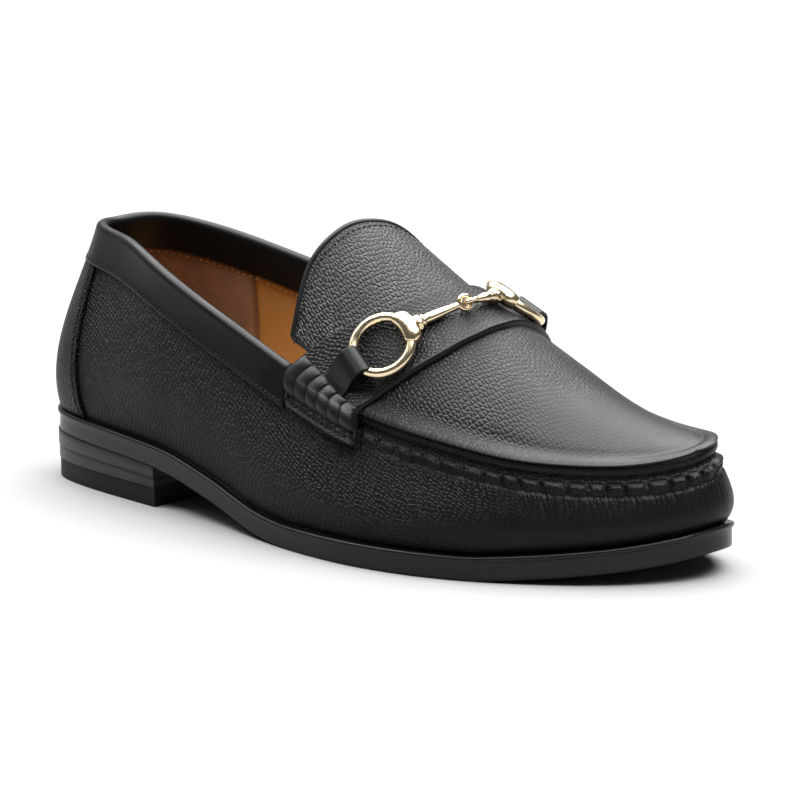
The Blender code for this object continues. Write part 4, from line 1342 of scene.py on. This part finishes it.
# %% Saddle strap
SADDLE_THICKNESS = 0.0020
SADDLE_LIFT = 1.6 * CLEARANCE
TAB_BELOW = 0.0125
ROLL_BELOW = 0.0070
ROLL_ABOVE = 0.0030
ROLL_HEIGHT = 0.0036
TAB_THICKNESS = 0.0012
ROLL_WRAPS = 6


def saddle_base(path, f):
    """Surface under the strap. path runs -1..0 up the outer wall, 0..1 over the instep, 1..2 down."""
    share = np.clip(path, 0, 1)
    x = saddle_x(share, f)
    down = np.maximum(-path, path - 1) * TAB_BELOW
    on_wall = down > 0
    near = path < 0.5
    u = np.where(near, section_of_top(lateral, x), section_of_top(medial, x))
    t = below(u, np.maximum(down, 0))
    wall_n = wall_normal(u, t)
    top_n = instep_normal(x, share)
    edge = np.minimum(share, 1 - share)
    turn = smooth_step(edge, 0.05, 0.0)[:, None]
    point = np.where(on_wall[:, None], wall_point(u, t), instep_point(x, share))
    wall_side = unit(wall_n * 1.5 + top_n * smooth_step(down, 0.004, 0.0)[:, None])
    normal = np.where(on_wall[:, None], wall_side, unit(top_n + wall_n * turn))
    lift = SADDLE_LIFT + SEAM_BEAD * seam_fade(u) * (1 - smooth_step(edge, 0.01, 0.05))
    return point + normal * lift[:, None], normal


def strap_width(path):
    rear, front = (saddle_base(path, np.full(len(path), f))[0] for f in (0.0, 1.0))
    return np.linalg.norm(front - rear, axis=-1)


CORNER = 0.0036
PATH_SHARES = (0.0, 0.13, 0.87, 1.0)
TOP_ROWS = 0.8
FRONT_SWELL = 0.0009
EDGE_RADIUS, END_RADIUS = 0.0014, 0.0009
CORD_HEIGHT, CORD_AT, CORD_WIDTH = 0.00045, 0.0010, 0.0007
TAB_ROW, TAB_ROW_WIDTH = 0.0023, 0.0005


def strap_place(x, y):
    # The two wall parts take an eighth of the columns each, the instep takes the rest.
    path = np.interp(x, PATH_SHARES, (-1.0, 0.0, 1.0, 2.0))
    over = y < TOP_ROWS
    f = np.where(over, eased(y / TOP_ROWS), 1 - eased((y - TOP_ROWS) / (1 - TOP_ROWS)))
    width = strap_width(path)
    ends = np.minimum(path + 1, 2 - path) * TAB_BELOW
    past = np.clip(CORNER - ends, 0, CORNER)
    retreat = (CORNER - np.sqrt(CORNER**2 - past**2)) / width
    f = retreat + (1 - 2 * retreat) * f
    point, normal = saddle_base(path, f)
    rear, front = (f - retreat) * width, (1 - f - retreat) * width
    on_top = smooth_step(np.minimum(path, 1 - path), -0.1, 0.12)
    body = TAB_THICKNESS + (SADDLE_THICKNESS - TAB_THICKNESS) * on_top
    body = body + FRONT_SWELL * on_top * smooth_step(front, 0.0090, 0.0015)
    near = np.minimum(rear, front)
    round_off, round_end = round_shoulder(near / EDGE_RADIUS), round_shoulder(ends / END_RADIUS)
    # The tab has a corded edge with a sewn groove inside it.
    rim = np.minimum(near, ends)
    cord = CORD_HEIGHT * (bell(rim, CORD_AT, CORD_WIDTH) - bell(rim, TAB_ROW, TAB_ROW_WIDTH))
    cord = cord * smooth_step(-np.minimum(path, 1 - path), 0.05, 0.30)
    height = np.where(over, (body + cord) * round_off * round_end, 0.0)
    return point + normal * height[:, None]


strap = panel(
    "saddle_strap", 260, 100, strap_place, pebbled_strap, chart=lengths_chart, trim=(0.665, 0.85)
)
strap.data.materials.append(smooth_black)
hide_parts("saddle")


# %% Rolled ends
def make_roll(name, lateral_side):
    def place(x, y):
        f = 0.02 + 0.955 * x
        swing = math.pi * (1 - y)
        above = ROLL_ABOVE * (0.75 - 0.55 * x)
        reach = (ROLL_BELOW + above) / 2
        middle = (ROLL_BELOW - above) / 2
        # Each wrap is a round cord of its own, with a thin slit between it and the next one.
        turn = x * ROLL_WRAPS + 0.10 * (1 - y)
        within = turn - np.floor(turn)
        swell = 0.74 + 0.26 * np.sin(math.pi * within) ** 0.7
        slit = np.maximum(smooth_step(within, 0.86, 1.0), smooth_step(-within, -0.14, 0.0))
        fat = swell * (1 - 0.24 * slit)
        end = round_shoulder(np.minimum(x, 1 - x) / 0.045)
        down = middle - np.cos(swing) * reach * (0.86 + 0.14 * fat)
        # Below the top edge the roll lies on the wall, above it on the instep.
        past = np.where(down >= 0, down / TAB_BELOW, down / 0.060)
        point, normal = saddle_base(-past if lateral_side else 1 + past, f)
        rise = 0.0004 + ROLL_HEIGHT * np.sin(swing) ** 0.75 * fat * end
        return point + normal * rise[:, None]

    side = 1.0 if lateral_side else -1.0
    roll = panel(
        name, 240, 26, place, roll_black, chart=lengths_chart, thickness=0.0006, offset=side
    )
    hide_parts("saddle")


make_roll("saddle_roll_lateral", True)
make_roll("saddle_roll_medial", False)


def tab_stitches(name, lateral_side):
    f = np.linspace(0.10, 0.90, 200)
    path = np.full(200, 1 - TAB_ROW / TAB_BELOW)
    line = saddle_base(-path if lateral_side else 1 + path, f)
    proud = TAB_THICKNESS - 0.0002
    sewn_row(name, *line, 0.0024, 0.0017, 0.0006, black_thread, proud)


tab_stitches("tab_stitches_lateral", True)
tab_stitches("tab_stitches_medial", False)


# %% [markdown]
# ## The bit
#
# The bit is a small copy of a horse's snaffle: two rings, and two tapered bars that link in the
# middle. Each bar ends at its ring in a cup like a shell. Leather keepers, folded round the outer
# wire of each ring, are sewn to the strap.

# %% Frames of the bit
RING_RADIUS = 0.0108
RING_WIRE = 0.00185
BIT_CENTRE = 0.44
BIT_SPREAD = 0.29
EYE_RADIUS = 0.0024
EYE_WIRE = 0.0009


def on_strap(share):
    """A point of the strap midway between its rear and front edges, and its normal there."""
    share = np.array([share])
    x = saddle_x(share, 0.5)
    normal = instep_normal(x, share)
    point = instep_point(x, share) + normal * (SADDLE_LIFT + SADDLE_THICKNESS)
    return point[0], normal[0]


link_point, link_normal = on_strap(BIT_CENTRE)
link = link_point + link_normal * (CLEARANCE + EYE_RADIUS + EYE_WIRE)
RINGS = {}
for side_name, share in (("lateral", BIT_CENTRE - BIT_SPREAD), ("medial", BIT_CENTRE + BIT_SPREAD)):
    point, normal = on_strap(share)
    centre = point + normal * (RING_WIRE + 2 * CLEARANCE)
    RINGS[side_name] = (centre, normal, frame_at(centre, link - centre, normal))
print("ring to ring", np.linalg.norm(RINGS["lateral"][0] - RINGS["medial"][0]))


# %% Rings, cups, bars and eyes
def torus(shape, major, minor, steps, sides):
    made = bmesh.ops.create_circle(shape, segments=sides, radius=minor)["verts"]
    bmesh.ops.rotate(shape, verts=made, matrix=Matrix.Rotation(math.pi / 2, 3, "X"))
    bmesh.ops.translate(shape, verts=made, vec=(major, 0, 0))
    edges = list({edge for vert in made for edge in vert.link_edges})
    bmesh.ops.spin(
        shape, geom=made + edges, angle=2 * math.pi, steps=steps, axis=(0, 0, 1),
        cent=(0, 0, 0), use_merge=True,
    )
    return shape


def make_ring(name, major, minor, place, material, node=None, steps=96, sides=24):
    shape = torus(bmesh.new(), major, minor, steps, sides)
    bmesh.ops.remove_doubles(shape, verts=shape.verts, dist=1e-6)
    bmesh.ops.recalc_face_normals(shape, faces=shape.faces)
    bmesh.ops.transform(shape, matrix=place, verts=shape.verts)
    ring = finish_piece(name, shape, material, merge=0.0, sharp=180.0)
    if node:
        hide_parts(node)
    return ring


# Along the bar from the ring's wire: distance, half width, half height.
BAR_ROWS = (
    (0.0026, 0.0, 0.0),
    (0.0029, 0.0024, 0.0019),
    (0.0042, 0.0032, 0.0025),
    (0.0051, 0.0030, 0.0024),
    (0.0055, 0.0021, 0.0020),
    (0.0059, 0.0025, 0.0024),
    (0.0065, 0.0025, 0.0024),
    (0.0069, 0.0019, 0.0019),
    (0.0076, 0.0019, 0.0019),
    (0.0090, 0.0020, 0.0020),
)
BAR_TIP = ((-0.0015, 0.0013), (0.0, 0.0012), (0.0006, 0.0))
CUP_HALF_ANGLE = 0.62
CUP_FIT = 0.0001


def cup_place(ring):
    """The shell: a sleeve round the ring's wire, widest in the middle, fluted toward the bar."""
    centre, normal, place = ring
    forward = np.array(place.to_3x3() @ Vector((1, 0, 0)))
    aside = np.cross(normal, forward)

    def place_cup(x, y):
        swing = (2 * x - 1) * CUP_HALF_ANGLE
        angle = 2 * math.pi * y
        toward = forward * np.cos(swing)[:, None] + aside * np.sin(swing)[:, None]
        full = np.sqrt(held(1 - (2 * x - 1) ** 2))
        shut = round_shoulder(np.minimum(x, 1 - x) / 0.03)
        outer = np.cos(angle) > 0
        lobes = 0.5 + 0.5 * np.cos(3 * math.pi * (2 * x - 1))
        fit = RING_WIRE + CUP_FIT
        swell = np.where(outer, (0.0022 + 0.0007 * lobes) * full**1.6, 0.0011 * full)
        across = (fit + swell) * np.cos(angle) * shut
        flute = 1 - 0.10 * (1 - lobes) * held(np.cos(angle)) ** 2 * full
        high = (fit + 0.0013 * full) * np.sin(angle) * flute * shut
        path = centre + toward * (RING_RADIUS + across)[:, None]
        return path + normal * high[:, None]

    return place_cup


def make_bar(side_name):
    centre, normal, place = RINGS[side_name]
    forward = np.array(place.to_3x3() @ Vector((1, 0, 0)))
    grip = centre + forward * RING_RADIUS
    run = unit(link - grip)
    length = np.linalg.norm(link - grip) - EYE_RADIUS * 1.5
    rows = [*BAR_ROWS, *((length + past, size, size) for past, size in BAR_TIP)]
    at, wide, high = (np.array(column) for column in zip(*rows))
    wide_curve, high_curve = steady_curve(at, wide), steady_curve(at, high)
    upright = unit(normal - run * np.dot(normal, run))
    sideways = np.cross(upright, run)

    def place_bar(x, y):
        s = at[0] + (at[-1] - at[0]) * x
        angle = 2 * math.pi * y
        petal = 1 + 0.10 * np.cos(6 * angle) * bell(s, BAR_ROWS[2][0], 0.0008)
        side = sideways * (wide_curve(s) * np.cos(angle) * petal)[:, None]
        rise = upright * (high_curve(s) * np.sin(angle) * petal)[:, None]
        return grip + run * s[:, None] + side + rise

    cup = panel(f"bit_cup_{side_name}", 64, 36, cup_place(RINGS[side_name]), gilt, sharp=60.0)
    bar = panel(f"bit_bar_{side_name}_shank", 110, 30, place_bar, gilt, sharp=60.0)
    eye_centre = link - run * (EYE_RADIUS / 2)
    eye_axis = unit(link_normal + np.cross(run, link_normal))
    eye_place = frame_at(eye_centre, run, eye_axis)
    eye = make_ring(f"bit_eye_{side_name}", EYE_RADIUS, EYE_WIRE, eye_place, gilt, steps=40, sides=14)
    for piece in (cup, bar, eye):
        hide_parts(f"bit_bar_{side_name}")


for side_name, (_, _, place) in RINGS.items():
    name, node = f"snaffle_ring_{side_name}", f"bit_ring_{side_name}"
    make_ring(name, RING_RADIUS, RING_WIRE, place, gilt, node=node)
    make_bar(side_name)


# %% Keepers
KEEPER_WIDTH = 0.0115
KEEPER_LENGTH = 0.0125
KEEPER_LEATHER = 0.0011
LOW_SHARE, HIGH_SHARE = 0.3, 0.6


def onto_strap(points, axis):
    """Slides points along an axis onto the strap's outer face."""
    moved = np.zeros(len(points))
    for _ in range(8):
        spots = points - axis * moved[:, None]
        normal = apron_normal(spots[:, 0], spots[:, 1])
        face = instep_height(spots[:, 0], spots[:, 1]) + (SADDLE_LIFT + SADDLE_THICKNESS) / normal[:, 2]
        moved += (spots[:, 2] - face) * normal[:, 2] / (normal @ axis)
    return -moved


def make_keeper(side_name):
    centre, axis, place = RINGS[side_name]
    outer = -np.array(place.to_3x3() @ Vector((1, 0, 0)))
    aside = np.cross(axis, outer)
    loop = RING_WIRE + CLEARANCE + KEEPER_LEATHER / 2

    def place_keeper(x, y):
        # y runs from the tail's lower layer, round the wire, and back over the top to the tail.
        aside_by = (x - 0.5) * KEEPER_WIDTH
        tail, top_layer = y < LOW_SHARE, y > HIGH_SHARE
        turn = held((y - LOW_SHARE) / (HIGH_SHARE - LOW_SHARE)) * math.pi
        low, high = held(y / LOW_SHARE), held((y - HIGH_SHARE) / (1 - HIGH_SHARE))
        round_wire = np.where(top_layer, KEEPER_LENGTH * high, -loop * np.sin(turn))
        past = np.where(tail, KEEPER_LENGTH * (1 - low), round_wire)
        flat = centre + outer * (RING_RADIUS + past)[:, None] + aside * aside_by[:, None]
        seat = onto_strap(flat, axis)
        under = seat + KEEPER_LEATHER / 2
        over = seat + KEEPER_LEATHER * 1.5
        settle = smooth_step(high, 0.10, 0.95)
        bottom = -loop + (under + loop) * smooth_step(1 - low, 0.0, 0.5)
        top = loop + (over - loop) * settle - 0.0016 * smooth_step(high, 0.86, 1.0)
        height = np.where(tail, bottom, np.where(top_layer, top, -loop * np.cos(turn)))
        return flat + axis * height[:, None]

    keeper = panel(
        f"keeper_loop_{side_name}", 16, 90, place_keeper, smooth_black,
        thickness=KEEPER_LEATHER, offset=0.0,
    )
    soften = keeper.modifiers.new("cut edges", "BEVEL")
    soften.width = 0.0002
    soften.segments = 2
    soften.limit_method = "ANGLE"
    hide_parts(f"keeper_{side_name}")


make_keeper("lateral")
make_keeper("medial")


# %% [markdown]
# ## Floor, light and camera
#
# The shoe stands on a pale sweep under a broad, even light from almost straight above, like the
# white ceiling of a light tent. One soft box stands at the left, on the heel's side, and one at the
# right, over the toe. The camera looks from the outer front, about 12 degrees above the ground,
# with a long lens.

# %% Floor and lights
CAMERA_TURN = math.radians(40.126)
CAMERA_TILT = math.radians(11.975)
CAMERA_DISTANCE = 1.2
LENS = 147.0
AIM = Vector((0.114, 0, 0.040))
AIM_RIGHT, AIM_UP = 0.0121, 0.0047
floor_material = new_material("pale studio floor", "#999999", 0.9, level=0.0)[0]
SWEEP_WIDTH, SWEEP_LENGTH = 12.0, 9.0
FLAT_REACH = 3.0
SWEEP_RADIUS = 2.0
SWEEP_TURN = math.radians(40)


def sweep_place(x, y):
    """A floor that curves up far behind the shoe."""
    across = (x - 0.5) * SWEEP_WIDTH
    run = y * SWEEP_LENGTH - FLAT_REACH
    bend = np.maximum(run - FLAT_REACH, 0)
    angle = np.minimum(bend / SWEEP_RADIUS, math.pi / 2)
    depth = np.minimum(run, FLAT_REACH) + SWEEP_RADIUS * np.sin(angle)
    above_bend = np.maximum(bend - SWEEP_RADIUS * math.pi / 2, 0)
    rise = SWEEP_RADIUS * (1 - np.cos(angle)) + above_bend
    px = across * math.cos(SWEEP_TURN) - depth * math.sin(SWEEP_TURN)
    py = across * math.sin(SWEEP_TURN) + depth * math.cos(SWEEP_TURN)
    return np.stack([px, py, rise], axis=-1)


sweep_shape = bmesh.new()
lay_grid(sweep_shape, 2, 60, sweep_place)
sweep_mesh = bpy.data.meshes.new("floor")
sweep_shape.to_mesh(sweep_mesh)
sweep_shape.free()
sweep_mesh.materials.append(floor_material)
sweep_mesh.shade_smooth()
sweep = bpy.data.objects.new("floor", sweep_mesh)
bpy.context.scene.collection.objects.link(sweep)

world = bpy.data.worlds.new("studio")
bpy.context.scene.world = world
world.use_nodes = True
background = world.node_tree.nodes["Background"]
background.inputs["Color"].default_value = (1.0, 1.0, 1.0, 1.0)
background.inputs["Strength"].default_value = 0.10

# The camera's own directions, from how far it is turned round the shoe and tilted down.
seen_from = Matrix.Rotation(CAMERA_TURN, 3, "Z") @ Matrix.Rotation(math.pi / 2 - CAMERA_TILT, 3, "X")
right, up, back = (seen_from @ Vector(axis) for axis in ((1, 0, 0), (0, 1, 0), (0, 0, 1)))


def hang(name, data, direction, track, spot=(0, 0, 0)):
    """Puts a light or the camera at a spot, with its tracked axis along a direction."""
    held_up = bpy.data.objects.new(name, data)
    held_up.location = spot
    held_up.rotation_euler = Vector(direction).to_track_quat(track, "Y").to_euler()
    bpy.context.scene.collection.objects.link(held_up)
    return held_up


def soft_box(name, toward_right, toward_up, toward_camera, size, power):
    """An area light placed by its direction from the shoe in the camera's own terms."""
    light = bpy.data.lights.new(name, "AREA")
    light.shape = "RECTANGLE"
    light.size, light.size_y = size
    light.energy = power
    spot = AIM + right * toward_right + Vector((0, 0, 1)) * toward_up + back * toward_camera
    hang(name, light, AIM - spot, "-Z", spot)


soft_box("left box", -1.2, 1.3, -0.3, (0.6, 0.9), 6)
soft_box("front box", 0.9, 1.4, 0.6, (1.2, 0.8), 15)


def even_light(name, toward, spread, strength):
    """A broad distant light from a direction. It keeps the whole floor evenly pale."""
    light = bpy.data.lights.new(name, "SUN")
    light.energy = strength
    light.angle = math.radians(spread)
    hang(name, light, toward, "Z")


even_light("ceiling", (-0.14, 0.20, 0.97), 82, 10.5)

# %% Camera
lens = bpy.data.cameras.new("camera")
lens.lens = LENS
lens.sensor_width = 36.0
spot = AIM + back * CAMERA_DISTANCE
target = AIM + right * AIM_RIGHT + up * AIM_UP
bpy.context.scene.camera = hang("camera", lens, target - spot, "-Z", spot)
bpy.context.scene.view_settings.view_transform = "Standard"

# %% The end
bpy.context.view_layer.update()
